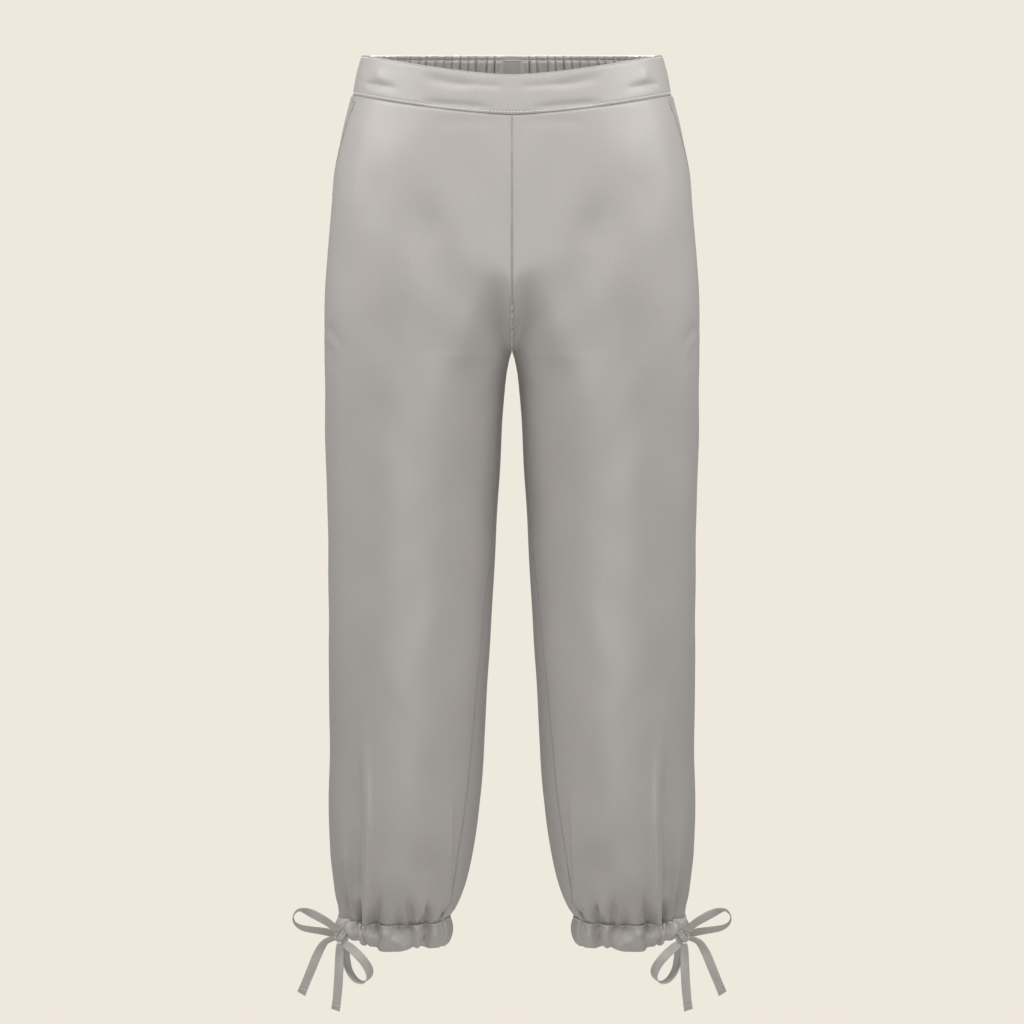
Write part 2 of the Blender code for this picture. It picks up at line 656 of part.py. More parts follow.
def route_points(route):
    """Even points and turns along a route, on a curve through its rows."""
    rows = np.array([[row["x"], row["y"], row["z"], row["turn"]] for row in route], float)
    ends = np.vstack((2 * rows[0] - rows[1], rows, 2 * rows[-1] - rows[-2]))
    samples = []
    for index in range(1, len(ends) - 2):
        before, start, end, after = ends[index - 1:index + 3]
        for part in np.linspace(0.0, 1.0, ROUTE_SAMPLES, endpoint=False):
            linear = 0.5 * (end - before)
            square = 0.5 * (2 * before - 5 * start + 4 * end - after)
            cubic = 0.5 * (3 * start - before - 3 * end + after)
            samples.append(start + part * (linear + part * (square + part * cubic)))
    samples.append(ends[-2])
    samples = np.array(samples)
    steps = np.linalg.norm(np.diff(samples[:, :3], axis=0), axis=1)
    length = np.concatenate(([0.0], np.cumsum(steps)))
    count = max(4, int(round(length[-1] / TAPE_STEP))) + 1
    even = np.linspace(0.0, length[-1], count)
    return np.stack([np.interp(even, length, samples[:, axis]) for axis in range(4)], axis=1)


def make_tape(name, route, mirrored, both_ends):
    """A flat tape along a route, drawn in where it enters the knot."""
    rows = route_points(route)
    centre = rows[:, :3]
    steps = np.linalg.norm(np.diff(centre, axis=0), axis=1)
    length = np.concatenate(([0.0], np.cumsum(steps)))
    from_knot = np.minimum(length, length[-1] - length) if both_ends else length
    share = TAPE_PINCH + (1.0 - TAPE_PINCH) * ease(from_knot / TAPE_PINCH_LENGTH)
    half_width = (TAPE_WIDTH / 2.0 * share)[:, None]
    along = np.gradient(centre, axis=0)
    along /= np.linalg.norm(along, axis=1, keepdims=True)
    depth = np.array([0.0, 1.0, 0.0])
    flat = np.cross(depth, along)
    flat /= np.linalg.norm(flat, axis=1, keepdims=True)
    turn = np.radians(rows[:, 3])[:, None]
    wide = np.cos(turn) * flat + np.sin(turn) * depth
    wide -= along * np.sum(wide * along, axis=1, keepdims=True)
    wide /= np.linalg.norm(wide, axis=1, keepdims=True)
    thick = np.cross(along, wide)
    points = []
    for across, through in ((-1, -1), (0, -1), (1, -1), (1, 1), (0, 1), (-1, 1)):
        cup = TAPE_CUP if across == 0 else 0.0
        offset = wide * across * half_width
        offset = offset + thick * (through * TAPE_THICKNESS / 2.0 + cup)
        points.append(centre + offset)
    ring = len(points)
    count = len(rows)
    points = np.stack(points, axis=1).reshape(-1, 3)
    faces = []
    for row in range(count - 1):
        for corner in range(ring):
            beside = (corner + 1) % ring
            start = row * ring
            faces.append((start + corner, start + beside, start + ring + beside, start + ring + corner))
    end = (count - 1) * ring
    for middle in ((0, 1, 4, 5), (1, 2, 3, 4)):
        faces.append(tuple(reversed(middle)))
        faces.append(tuple(end + corner for corner in middle))
    return make_solid(name, points, faces, TAPE, mirrored)


def make_knot(name, mirrored):
    """A squashed knot with a band drawn tight around its middle."""
    tilt = math.radians(KNOT_TILT)
    long_way = np.array([math.cos(tilt), 0.0, math.sin(tilt)])
    deep_way = np.array([0.0, 1.0, 0.0])
    short_way = np.array([-math.sin(tilt), 0.0, math.cos(tilt)])
    points = []
    for ring in range(1, KNOT_RINGS):
        polar = math.pi * ring / KNOT_RINGS
        pinch = (1.0 + KNOT_PINCH * math.cos(4.0 * polar)) / (1.0 + KNOT_PINCH)
        for side in range(KNOT_SIDES):
            around = 2.0 * math.pi * side / KNOT_SIDES
            swell = math.sin(polar) ** KNOT_BLUNTNESS * pinch * (1.0 + KNOT_SWELL * math.cos(3.0 * around))
            points.append(
                long_way * KNOT_RADII[0] * math.cos(polar)
                + deep_way * KNOT_RADII[1] * swell * math.cos(around)
                + short_way * KNOT_RADII[2] * swell * math.sin(around)
            )
    first_pole = len(points)
    points.append(long_way * KNOT_RADII[0])
    points.append(-long_way * KNOT_RADII[0])
    faces = []
    for side in range(KNOT_SIDES):
        beside = (side + 1) % KNOT_SIDES
        faces.append((first_pole, side, beside))
        last = (KNOT_RINGS - 2) * KNOT_SIDES
        faces.append((first_pole + 1, last + beside, last + side))
        for ring in range(KNOT_RINGS - 2):
            start = ring * KNOT_SIDES
            below = start + KNOT_SIDES
            faces.append((start + side, below + side, below + beside, start + beside))
    points = np.array(points) + np.array(KNOT_CENTRE)
    return make_solid(name, points, faces, TAPE, mirrored)


def clear_scene():
    for made in list(bpy.data.objects):
        bpy.data.objects.remove(made, do_unlink=True)


def build():
    clear_scene()
    front_outer, front_inner = panel_grids(front=True)
    back_outer, back_inner = panel_grids(front=False)
    cuff_outer, cuff_inner = cuff_point_grids()
    for side, mirrored in (("left", False), ("right", True)):
        make_wall("front_" + side, front_outer, front_inner, SATIN, mirrored)
        make_wall("back_" + side, back_outer, back_inner, SATIN, mirrored)
        make_wall("cuff_" + side, cuff_outer, cuff_inner, SATIN, mirrored, closed=True)
        make_knot("tie_" + side + "_knot", mirrored)
        make_tape("tie_" + side + "_loop_upper", LOOP_UPPER, mirrored, both_ends=True)
        make_tape("tie_" + side + "_loop_lower", LOOP_LOWER, mirrored, both_ends=True)
        make_tape("tie_" + side + "_tail_outer", TAIL_OUTER, mirrored, both_ends=False)
        make_tape("tie_" + side + "_tail_inner", TAIL_INNER, mirrored, both_ends=False)
    make_front_band()
    make_back_band()


build()
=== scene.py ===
"""Satin trousers with a smooth front waistband, a gathered back one and ankle casings tied with bows.

Forms are worked out in millimetres and made in metres. +Z is up, the front faces -Y, and the origin
is the middle of the waist opening at the height of its sides. The left side is worked out and
mirrored. Angles run around one leg: 0 at the outer side, 90 in front, 180 inside, -90 behind.
"""
import math

import bpy
import numpy as np
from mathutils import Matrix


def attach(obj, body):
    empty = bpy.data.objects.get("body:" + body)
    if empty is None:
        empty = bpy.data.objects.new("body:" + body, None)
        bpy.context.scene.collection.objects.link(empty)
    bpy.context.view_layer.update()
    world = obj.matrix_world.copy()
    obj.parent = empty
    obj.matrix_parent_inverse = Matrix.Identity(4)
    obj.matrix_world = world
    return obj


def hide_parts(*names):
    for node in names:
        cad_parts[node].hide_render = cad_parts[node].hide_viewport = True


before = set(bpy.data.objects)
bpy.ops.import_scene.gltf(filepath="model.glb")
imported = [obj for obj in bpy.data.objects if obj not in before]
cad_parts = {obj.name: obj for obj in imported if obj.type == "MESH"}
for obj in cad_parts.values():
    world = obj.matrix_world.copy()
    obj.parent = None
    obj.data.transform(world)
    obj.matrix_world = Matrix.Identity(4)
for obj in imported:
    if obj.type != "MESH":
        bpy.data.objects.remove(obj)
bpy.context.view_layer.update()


def table(names, *rows):
    """Rows of numbers under the same headings."""
    return [dict(zip(names.split(), row)) for row in rows]


MM = 0.001
SEAM_GAP = 0.3
SHELL_WALL = 1.3
BAND_WALL = 2.0
CUFF_WALL = 1.6
TURN = 2.0 * math.pi
SIDES = (("left", False), ("right", True))

TORSO_POWER = 2.5
LEG_POWER = 2.15
CROTCH_POWER = 4.2
CROTCH_POWER_END_Z = -470.0
CROTCH_Z = -305.0
FRONT_FORK_Z = -215.0
BACK_FORK_Z = -180.0
SETTLE_Z = -195.0
SPREAD_Z = -100.0
HEM_Z = -913.0
HEM_BOTTOM_Z = -941.0
FORK_ANGLE = 105.0
FORK_ANGLE_SPAN = 60.0
FORK_TURN_ANGLE = 130.0
FORK_TURN_SPAN = 45.0
FORK_TURN_CENTRE = 0.5
FORK_TURN_AWAY = 2.5

# Sizes of the body of the garment by height: half width, and depth in front and behind.
TORSO = table(
    "z half front back",
    (8, 154.5, 95, 102), (-20, 161.7, 99, 107), (-41, 166.2, 103, 112),
    (-60, 171.2, 107, 118), (-81, 177, 110, 124), (-102, 181.8, 112.5, 129),
    (-124, 185.5, 114.5, 133), (-166, 190.3, 117, 139), (-208, 194.3, 118.5, 142),
    (-250, 196.6, 118, 141), (-305, 197.7, 114, 137),
)

# Sizes of one leg by height: outer and inner edge, and depth in front and behind.
LEG = table(
    "z outer inner front back",
    (-110, 197.7, 0.2, 105, 122),
    (-215, 197.7, 0.2, 108, 131),
    (-305, 197.7, 0.2, 103, 124.5),
    (-314, 197.7, 2.65, 102.2, 123),
    (-336, 197.6, 5.8, 100, 119),
    (-378, 197.2, 9, 95.5, 111.5),
    (-463, 195.7, 14.3, 88.5, 99),
    (-548, 194, 19.6, 83, 90),
    (-632, 194.4, 23.9, 79.5, 84),
    (-717, 194.7, 29.2, 76.5, 80),
    (-802, 195, 36, 73.5, 76),
    (-844, 193.5, 41.9, 70, 72),
    (-866, 191.3, 46.1, 66.5, 68),
    (-887, 188.7, 52.5, 60.5, 62),
    (-903, 185.8, 59.5, 52, 53),
    (-913, 185.2, 65.5, 46, 47),
    (-941, 185.2, 66.5, 45, 46),
)

# The seams of one leg by height, in degrees: how far each lies in front of the side it follows.
SEAMS = table(
    "z side inside",
    (-41, 22, 0), (-86, 14, 0), (-120, 6.5, 0),
    (-152, 0, 0), (-336, 0, 0), (-420, 0, 9),
    (-558, 0, 23.5), (-635, 0, 29.5), (-712, 0, 33),
    (-784, 0, 36.5), (-841, 0, 39.5), (-892, 0, 39),
    (-941, 0, 33.5),
)

WAIST_CURVE = 1.5
WAIST_SEAM = dict(side=-41.3, front=-22.2, back=3.3)
WAIST_TOP = dict(side=0.0, front=-23.1, back=4.6)

# Folds that run up the leg from the ankle: angle at the ankle, lean towards the upper end, upper end,
# height (a negative one is a trough) and half width in degrees.
LEG_FOLDS = table(
    "angle lean top height width",
    (57, 1, -690, 3.6, 5.5),
    (48.5, 3, -800, -5, 5),
    (36, 3, -780, 3.2, 5),
    (25, 2, -850, -3.4, 5),
    (69, -2, -872, -2.2, 5),
    (84, 0, -862, 2, 7),
    (100, 2, -880, -2.4, 5),
    (110, -3, -850, 2.4, 5.5),
    (120, -2, -858, -5, 5),
    (130, 2, -868, 2.4, 5),
    (148, -4, -770, 2, 5),
    (12, 2, -838, 2.6, 5.5),
    (-2, -2, -866, -3.2, 5),
    (-15, -3, -820, 2.8, 5.5),
    (-30, -2, -858, -4, 5.5),
    (-46, -4, -760, 3.2, 6),
    (-64, 1, -866, -3.2, 6),
    (-82, 3, -835, 2.4, 7),
    (-101, -2, -850, -4.2, 6),
    (-118, 4, -785, 2.8, 6),
    (-137, 0, -872, -3, 6),
    (-155, -3, -850, 2.2, 7),
    (-172, 0, -880, -2.2, 6),
)

# Pleats drawn into the ankle casing: angle, depth at its lower edge and half width in degrees.
CUFF_PLEATS = table(
    "angle height width",
    (121, -4.4, 3.8), (84, 1.6, 10), (67, -3.4, 4),
    (50, -4.6, 3.6), (33, -3, 4.4), (10, 1, 6),
    (-7, -2.8, 6), (-31, -3.2, 6.5), (-48, 1.8, 8),
    (-66, -3, 6.5), (-101, -3.4, 6.5), (-119, 1.8, 8),
    (-138, -2.8, 6.5), (-172, -2.4, 6.5), (150, 1.2, 9),
)
CUFF_BULGE = 3.8
CUFF_EDGE_DROP = 0.4
CUFF_CREASE_LIFT = 0.5
CUFF_PLEAT_GAIN = 1.25
CUFF_DRAWN_START_X = 152.0
CUFF_DRAWN_SPAN = 26.0
CUFF_DRAWN_RISE = 9.0
HOLLOW_OFF_SEAM = 26.0
CUFF_MIDDLE_RADIUS = 58.0
CUFF_PUCKER_RADIUS = 52.0

# Lines pressed in along seams, edges and stitch rows: depth and width.
CENTRE_DITCH = (0.4, 0.6)
SIDE_DITCH = (0.6, 1.0)
WAIST_DITCH = (1.1, 1.5)
HEM_DITCH = (0.9, 1.4)
POCKET_LIP = (0.35, 0.8)
POCKET_EDGE = (0.6, 0.6)
POCKET_BACK_EDGE = (0.7, 1.1)
BAND_SIDE_DITCH = (0.7, 1.2)
BAND_LOWER_ROLL = (0.9, 0.9)
BAND_UPPER_ROLL = (0.45, 0.6)
BAND_LOWER_STITCH = (0.6, 0.9)
BAND_UPPER_STITCH = (0.5, 0.9)
BAND_ELASTIC_STITCH = (0.6, 0.9)
BAND_ELASTIC_INSIDE = (1.2, 1.0)
CUFF_TOP_DITCH = (0.5, 0.9)
CUFF_LOWER_ROLL = (0.9, 0.8)
CUFF_STITCH = (0.5, 1.2)
CUFF_STITCH_FROM_TOP = 2.0

# The pocket mouth: the lip's distance from the side seam, and the heights between which it opens.
POCKET_LIP_FROM_SIDE = 2.9
POCKET_TOP_Z = -44.0
POCKET_TOP_SPAN = 6.0
POCKET_BOTTOM_Z = -160.0
POCKET_BOTTOM_SPAN = 28.0

BAND_GATHERS = 46
BAND_PLAIN_SHARE = 0.035
BAND_PLAIN_SPAN = 0.03
BAND_GATHER_HEIGHT = 2.2
BAND_GATHER_INSIDE = 1.7
BAND_LEAST_WALL = 0.8
BAND_HEIGHT = 41.0
BAND_MIDDLE = 20.0
BAND_LIFT = 0.3
BAND_FRONT_SWELL = (0.7, 16.0)
BAND_BACK_SWELL = (1.0, 15.0)
BAND_STITCH_INSET = 2.2
BAND_ELASTIC_INSET = 5.5
BAND_ELASTIC_INSET_INSIDE = 4.6
QUILT_HEIGHT = 0.12
QUILT_PITCH = 2.7
SEAT_GATHERS = 7
SEAT_GATHER_HEIGHT = 1.3
SEAT_GATHER_END_Z = -128.0
SEAT_FINE_GATHERS = 19.0
SEAT_FINE_HEIGHT = 1.1
SEAT_FINE_LENGTH = 15.0

# Creases, each along a bowed line from one place to another. height is negative for a
# trough. crisp runs from 0, soft, to 1, sharp. lean makes the flank on the +X side wider (positive)
# or narrower. grow and fade are the shares of the length over which it comes and goes.
FRONT_CREASES = table(
    "x0 z0 x1 z1 bow height width crisp lean grow fade",
    (154.5, -675, 153.6, -913, -4.2, 5.4, 3.6, 0.8, 0.6, 0.95, 0),
    (168, -660, 165.6, -913, -3.5, -11, 7, 0.1, 0.5, 0.8, 0),
    (178, -800, 169.4, -913, 2, 6.4, 2.6, 0.9, 0.5, 0.7, 0),
    (178, -838, 176, -913, 0, -4.3, 2.4, 0.3, 0, 0.7, 0),
    (157.5, -880, 160.6, -913, 0.5, -7.2, 1.9, 0.6, 0, 0.6, 0),
    (60, -745, 67.8, -913, 1.2, 3.8, 3, 0.9, 0.4, 0.6, 0.12),
    (87, -880, 88.6, -913, 0.6, -6.7, 1.9, 0.6, 0, 0.6, 0),
    (73, -856, 83, -905, 1, -1.3, 4, 0.2, 0, 0.5, 0.3),
    (97, -858, 91, -903, -1, -1, 4, 0.2, 0, 0.5, 0.3),
    (137.6, -866, 145, -913, 0.5, -6.7, 3.2, 0.5, 0, 0.6, 0),
    (129, -882, 130, -913, 0, 2.3, 4, 0.3, 0, 0.6, 0),
    (109.6, -870, 106.2, -913, 0, -6.1, 3.2, 0.5, 0, 0.6, 0),
    (119, -880, 118, -913, 0, -3.8, 3.6, 0.3, 0, 0.6, 0),
    (75, -880, 73, -913, 0, -2.6, 3, 0.4, 0, 0.6, 0),
    (157, -560, 157, -800, -2, -1.5, 9, 0, 0, 0.5, 0.4),
    (130, -380, 131, -690, 4, 1, 16, 0, 0, 0.4, 0.4),
    (60, -400, 62, -740, -3, -1.2, 10, 0, 0, 0.4, 0.4),
    (96, -540, 100, -830, 3, 0.9, 15, 0, 0, 0.4, 0.4),
    (179.5, -292, 179.5, -610, 0, 1.3, 6.5, 0.25, 0.4, 0.22, 0.5),
    (193.5, -276, 171, -307, 1, -1.7, 4.5, 0.2, 0, 0.25, 0.6),
    (194, -296, 182, -330, 0, -1.3, 4, 0.2, 0, 0.3, 0.5),
    (151, -58, 171.5, -226, -2, 1.2, 9, 0, 0, 0.3, 0.5),
    (146, -66, 148, -190, 0, -0.8, 9, 0, 0, 0.3, 0.5),
    (3, -298, 44, -240, 3, -0.5, 7, 0.1, 0, 0.3, 0.6),
    (3, -276, 30, -206, 2, -0.6, 6, 0.1, 0, 0.3, 0.6),
    (7, -312, 44, -400, -3, -1.1, 7, 0.1, 0, 0.3, 0.6),
    (6, -308, 70, -338, 3, -0.6, 8, 0, 0, 0.3, 0.6),
    (80, -71, 6, -70, 0, -1, 4.5, 0.1, 0, 0.3, 0.25),
    (112, -52, 96, -150, 2, -0.6, 8, 0, 0, 0.3, 0.6),
    (38, -66, 44, -140, 2, -0.5, 8, 0, 0, 0.3, 0.6),
)

BACK_CREASES = table(
    "x0 z0 x1 z1 bow height width crisp lean grow fade",
    (150, -690, 149, -913, 3, 2, 4, 0.8, 0.3, 0.6, 0),
    (155, -715, 154.6, -913, 2, -2.2, 4.4, 0.2, 0, 0.7, 0),
    (101, -760, 104, -913, -2, 1.7, 3.6, 0.7, -0.3, 0.6, 0),
    (108, -800, 109, -913, 0, -2, 3, 0.4, 0, 0.7, 0),
    (128, -850, 131, -913, 0, -2.2, 2.6, 0.5, 0, 0.6, 0),
    (118, -880, 119.5, -913, 0, -1.3, 2.6, 0.4, 0, 0.6, 0),
    (92, -858, 92.5, -913, 0, -2.2, 2.4, 0.5, 0, 0.6, 0),
    (78, -870, 81, -913, 0, -1.8, 2.4, 0.5, 0, 0.6, 0),
    (168, -862, 166.5, -913, 0, -2, 2.4, 0.5, 0, 0.6, 0),
    (60, -830, 69, -913, 0, 1.1, 3, 0.6, 0, 0.6, 0.1),
    (8, -292, 88, -262, 6, -1.9, 8, 0.1, 0, 0.3, 0.6),
    (8, -306, 112, -316, 8, -2.1, 8, 0.15, 0, 0.25, 0.6),
    (9, -318, 92, -360, 7, -1.7, 8, 0.1, 0, 0.3, 0.6),
    (10, -332, 50, -430, 3, -1.4, 8, 0, 0, 0.3, 0.6),
    (150, -545, 52, -566, -5, -1.2, 9, 0.1, 0, 0.4, 0.4),
    (60, -520, 138, -500, 4, -0.9, 9, 0.1, 0, 0.4, 0.5),
    (128, -400, 130, -720, 4, 1.1, 17, 0, 0, 0.4, 0.4),
    (70, -420, 74, -760, -3, -1.2, 12, 0, 0, 0.4, 0.4),
    (179.5, -300, 179.5, -620, 0, 1.1, 7, 0.2, 0.4, 0.3, 0.5),
    (194, -280, 168, -310, 1, -1.4, 5, 0.2, 0, 0.3, 0.6),
)

# Small folds of the ankle casing in front and behind, between its seam and its lower edge.
CUFF_FRONT_CREASES = table(
    "x0 z0 x1 z1 bow height width crisp lean grow fade",
    (168, -903, 161.5, -938, 1, -4.5, 2.6, 0.6, 0, 0.15, 0.12),
    (161.6, -903, 154.8, -944, 0.8, -6.3, 2.4, 0.6, 0.3, 0.1, 0.05),
    (164.6, -906, 158.6, -940, 0.5, 2.7, 2, 0.4, 0, 0.2, 0.1),
    (151, -906, 149, -936, 0.5, 2.8, 3.4, 0.2, 0, 0.3, 0.3),
    (146, -904, 142, -928, -0.6, -3.9, 3.2, 0.4, 0.4, 0.1, 0.5),
    (139, -918, 145.6, -944, -1.2, -4.8, 3, 0.5, 0.3, 0.25, 0),
    (131, -907, 136, -930, 0.6, 3, 4.6, 0.1, 0, 0.3, 0.4),
    (121, -904, 119, -922, 0.4, -2.2, 5, 0.2, 0, 0.1, 0.6),
    (124, -921, 110, -940, 0.8, 3.3, 4.4, 0.2, 0, 0.4, 0.3),
    (110, -905, 103, -944, -0.8, -4.8, 3.4, 0.5, 0.4, 0.2, 0),
    (102.6, -904, 98.6, -926, 0, 2.7, 3, 0.3, 0, 0.2, 0.5),
    (87.2, -902, 90.5, -943, 0.6, -7.8, 2.2, 0.7, 0.4, 0.05, 0.25),
    (93, -906, 96, -936, 0.5, 3, 3.2, 0.3, 0, 0.2, 0.4),
    (82, -906, 83, -938, 0.3, 2, 3, 0.2, 0, 0.2, 0.4),
    (74, -902, 75, -944, 0, -1.4, 1.1, 0.6, 0, 0, 0),
)
CUFF_BACK_CREASES = table(
    "x0 z0 x1 z1 bow height width crisp lean grow fade",
    (166, -903, 162, -942, 0.5, -3.8, 2.8, 0.5, 0, 0.1, 0.1),
    (155, -903, 150, -943, -0.8, -5, 2.8, 0.6, 0.3, 0.1, 0.05),
    (146, -907, 141, -932, 0.5, 2.8, 4, 0.1, 0, 0.3, 0.4),
    (129, -903, 134, -943, 0.8, -4.5, 3, 0.6, 0, 0.1, 0.05),
    (122, -908, 117, -934, 0.6, 2.5, 4.4, 0.1, 0, 0.3, 0.4),
    (111, -903, 106, -943, -0.6, -4.2, 2.8, 0.5, 0, 0.1, 0.05),
    (99, -906, 97, -930, 0.3, 2.2, 3.4, 0.2, 0, 0.2, 0.5),
    (89, -903, 93, -943, 0.6, -5, 2.4, 0.6, 0.3, 0.1, 0.05),
    (80, -903, 77, -942, 0.4, -3, 2.4, 0.5, 0, 0.1, 0.1),
)

# Round hollows and bumps in front and behind: place, half width and half height, and height.
FRONT_HOLLOWS = table(
    "x z wide high height",
    (37, -282, 20, 25, 8),
    (84, -182, 17, 20, -3.4),
    (52, -128, 20, 22, -0.9),
    (55, -185, 16, 20, 0.7),
    (114.5, -216, 26, 30, 1.2),
    (79, -346, 30, 42, 1.1),
    (136, -276, 14, 22, -1),
    (112, -400, 18, 40, -0.8),
    (86.8, -852, 12, 15, -4.2),
    (92.8, -893, 5, 7, 3.4),
    (80.5, -894, 4, 7, 2.6),
    (166.4, -889, 3.6, 10, 5.6),
    (150, -893, 4.6, 8, 3),
    (118, -868, 16, 18, 1.4),
)
BACK_HOLLOWS = table(
    "x z wide high height",
    (84, -170, 40, 44, 2),
    (120, -232, 22, 20, -1.2),
    (60, -240, 18, 16, -1.1),
    (95, -470, 26, 36, -1),
    (112, -640, 24, 44, 1.1),
    (84, -848, 12, 15, -2),
    (140, -862, 10, 14, -1.4),
    (122, -892, 6, 7, 1.4),
    (99, -893, 5, 7, 1.3),
)

# Soft folds pressed into the front waistband, in the same columns as the creases.
BAND_CREASES = table(
    "x0 z0 x1 z1 bow height width crisp lean grow fade",
    (153, -30.5, 112, -38, 0.6, -2.3, 2.6, 0.2, 0, 0.25, 0.6),
    (96, -24, 34, -36, -1, -1.9, 3.4, 0.1, 0, 0.4, 0.4),
    (70, -30, 2, -36, -0.6, -1.3, 2.4, 0.1, 0, 0.4, 0.3),
    (98, -50.5, 14, -57.5, 0.4, -1.9, 2.4, 0.1, 0, 0.3, 0.3),
    (138, -14, 132, -34, 0.4, 1.1, 3.6, 0, 0, 0.3, 0.5),
)

# Patches of slight unevenness: height, length down the cloth, length across it, and phase.
DRIFTS = (
    (0.70, 260.0, 110.0, 0.4),
    (0.45, 170.0, 83.0, 1.9),
    (0.22, 97.0, 61.0, 3.1),
)

# Bow of the flat drawstring on the left ankle: position, and turn of its width in degrees.
TAPE_WIDTH = 9.5
TAPE_THICKNESS = 1.2
TAPE_STEP = 1.3
TAPE_PINCH = 0.82
TAPE_PINCH_LENGTH = 8.0
TAPE_DIP = 0.55
TAPE_END_FOLD = 8.5
TAPE_END_RISE = 0.9
TAPE_END_SLANT = 0.9
TAPE_END_BACK = 2.4
TAPE_TWIST = 11.0
KNOT_CENTRE = (181.4, -31.6, -928.6)
KNOT_RADII = (8.6, 5.2, 7.2)
KNOT_TILT = 42.0
KNOT_RINGS = 40
KNOT_SIDES = 48
LOOP_UPPER = table(
    "x y z turn",
    (185, -35, -921.4, 20), (193.9, -37.8, -912.8, 12), (202.6, -38.3, -907.2, 12),
    (211.6, -37.3, -902.6, 25), (220, -35.8, -899.8, 48), (226.7, -34.3, -900.4, 66),
    (231, -32.8, -906.2, 80), (230.2, -31.3, -913.2, 102), (224.6, -30.3, -918.6, 130),
    (216, -29.9, -921.2, 154), (205, -29.9, -922.8, 162), (196.3, -30.3, -924.2, 160),
    (189.2, -31.2, -926, 155),
)
LOOP_LOWER = table(
    "x y z turn",
    (177.4, -35.1, -935.1, 15), (166.6, -39.8, -942.8, 8), (157.4, -40.8, -952.4, 8),
    (151.8, -39.8, -961.8, 28), (150.8, -37.8, -969.4, 55), (153.8, -35.8, -975.2, 72),
    (159.6, -33.9, -977.9, 82), (166.9, -31.9, -974.6, 108), (172.8, -29.9, -966.2, 136),
    (175.6, -28.5, -956.2, 158), (177.2, -28.1, -947, 168), (178.2, -29.8, -935.6, 165),
)
TAIL_OUTER = table(
    "x y z turn",
    (188.2, -31.2, -930.2, 40), (198.2, -33.9, -934.4, 26), (205.4, -34.3, -945.8, 12),
    (211.2, -33.7, -959.6, 6), (216.9, -32.7, -973.6, 4), (224, -31.5, -991.2, 0),
)
TAIL_INNER = table(
    "x y z turn",
    (182.2, -32.7, -936, 16), (182.8, -34.7, -948.6, 8), (183.2, -35.1, -960, 6),
    (184.3, -34.5, -978.2, 4), (186.1, -33.5, -998.8, 4), (187.7, -32.7, -1008.6, 0),
)

SATIN_COLOR = (0.465, 0.442, 0.424)
SATIN_BACK_COLOR = (0.40, 0.38, 0.36)
BAND_COLOR = (0.465, 0.443, 0.424)
TAPE_COLOR = (0.49, 0.47, 0.445)
THREAD_COLOR = (0.80, 0.78, 0.75)
SEAM_THREAD_COLOR = (0.27, 0.25, 0.235)
BACKDROP_COLOR = (0.863, 0.815, 0.723)
LIGHT_COLOR = (1.0, 0.99, 0.98)
AMBIENT_COLOR = (1.0, 0.99, 0.975)
FLOOR_COLOR = (0.80, 0.77, 0.71)

EDGE_STEPS = (0.0, 0.5, 1.1, 1.8, 2.8, 4.2, 6.2)
PANEL_MIDDLE = 120
CUFF_COLUMNS = 420
STITCH_PITCH = 3.3
STITCH_LENGTH = 1.9
STITCH_RADIUS = 0.5
STITCH_LIFT = 0.1
SEAM_STITCH_RADIUS = 0.34
CENTRE_STITCH_RADIUS = 0.26
CENTRE_STITCH_END_Z = CROTCH_Z + 48.0
SIDE_STITCH_START_Z = -154.0
MOUTH_STITCH_TOP_Z = -47.0
MOUTH_STITCH_BOTTOM_Z = -152.0
TOP_BARTACK_Z = -58.0
BOTTOM_BARTACK_Z = -150.0

CAMERA_PLACE = (0.0, -3.2, -0.145)
CAMERA_DOWN = 4.7
CAMERA_LENS = 106.82
CAMERA_SHIFT_Y = -0.0657

# Rectangular lamps: place, point they face, sides in metres and power in watts.
LAMPS = table(
    "name place aim size power",
    ("key", (0.0, -2.3, -0.55), (0.0, 0.0, -0.5), (1.4, 1.0), 18.5),
    ("side_left", (1.1, -0.5, 0.75), (0.1, 0.0, -0.2), (1.0, 1.0), 17.5),
    ("side_right", (-1.1, -0.5, 0.75), (-0.1, 0.0, -0.2), (1.0, 1.0), 17.5),
    ("top", (0.0, -0.35, 1.5), (0.0, 0.0, -0.2), (2.0, 1.0), 5.0),
    ("back", (0.0, 2.4, 0.9), (0.0, 0.0, -0.4), (1.5, 0.9), 48.0),
)
AMBIENT_STRENGTH = 0.17
FLOOR_Z = -1300.0
FLOOR_RADIUS = 1600.0
FLOOR_RINGS = 8
FLOOR_SIDES = 64


def smooth(table, name, at):
    """Read one column of a table at heights between its rows, without overshoot."""
    rows = sorted(table, key=lambda row: row["z"])
    keys = np.array([row["z"] for row in rows], float)
    values = np.array([row[name] for row in rows], float)
    steps = np.diff(keys)
    slopes = np.diff(values) / steps
    tangents = np.concatenate((slopes[:1], np.zeros(len(values) - 2), slopes[-1:]))
    same_way = slopes[:-1] * slopes[1:] > 0
    below = slopes[:-1][same_way]
    above = slopes[1:][same_way]
    tangents[1:-1][same_way] = 2.0 * below * above / (below + above)
    at = np.clip(np.asarray(at, float), keys[0], keys[-1])
    index = np.clip(np.searchsorted(keys, at) - 1, 0, len(keys) - 2)
    width = steps[index]
    part = (at - keys[index]) / width
    rise = values[index + 1] - values[index]
    start = tangents[index] * width
    end = tangents[index + 1] * width
    cubic = start + end - 2.0 * rise
    square = 3.0 * rise - 2.0 * start - end
    return values[index] + part * (start + part * (square + part * cubic))


def ease(part):
    part = np.clip(part, 0.0, 1.0)
    return part * part * (3.0 - 2.0 * part)


def power_of(value, power):
    return np.sign(value) * np.abs(value) ** power


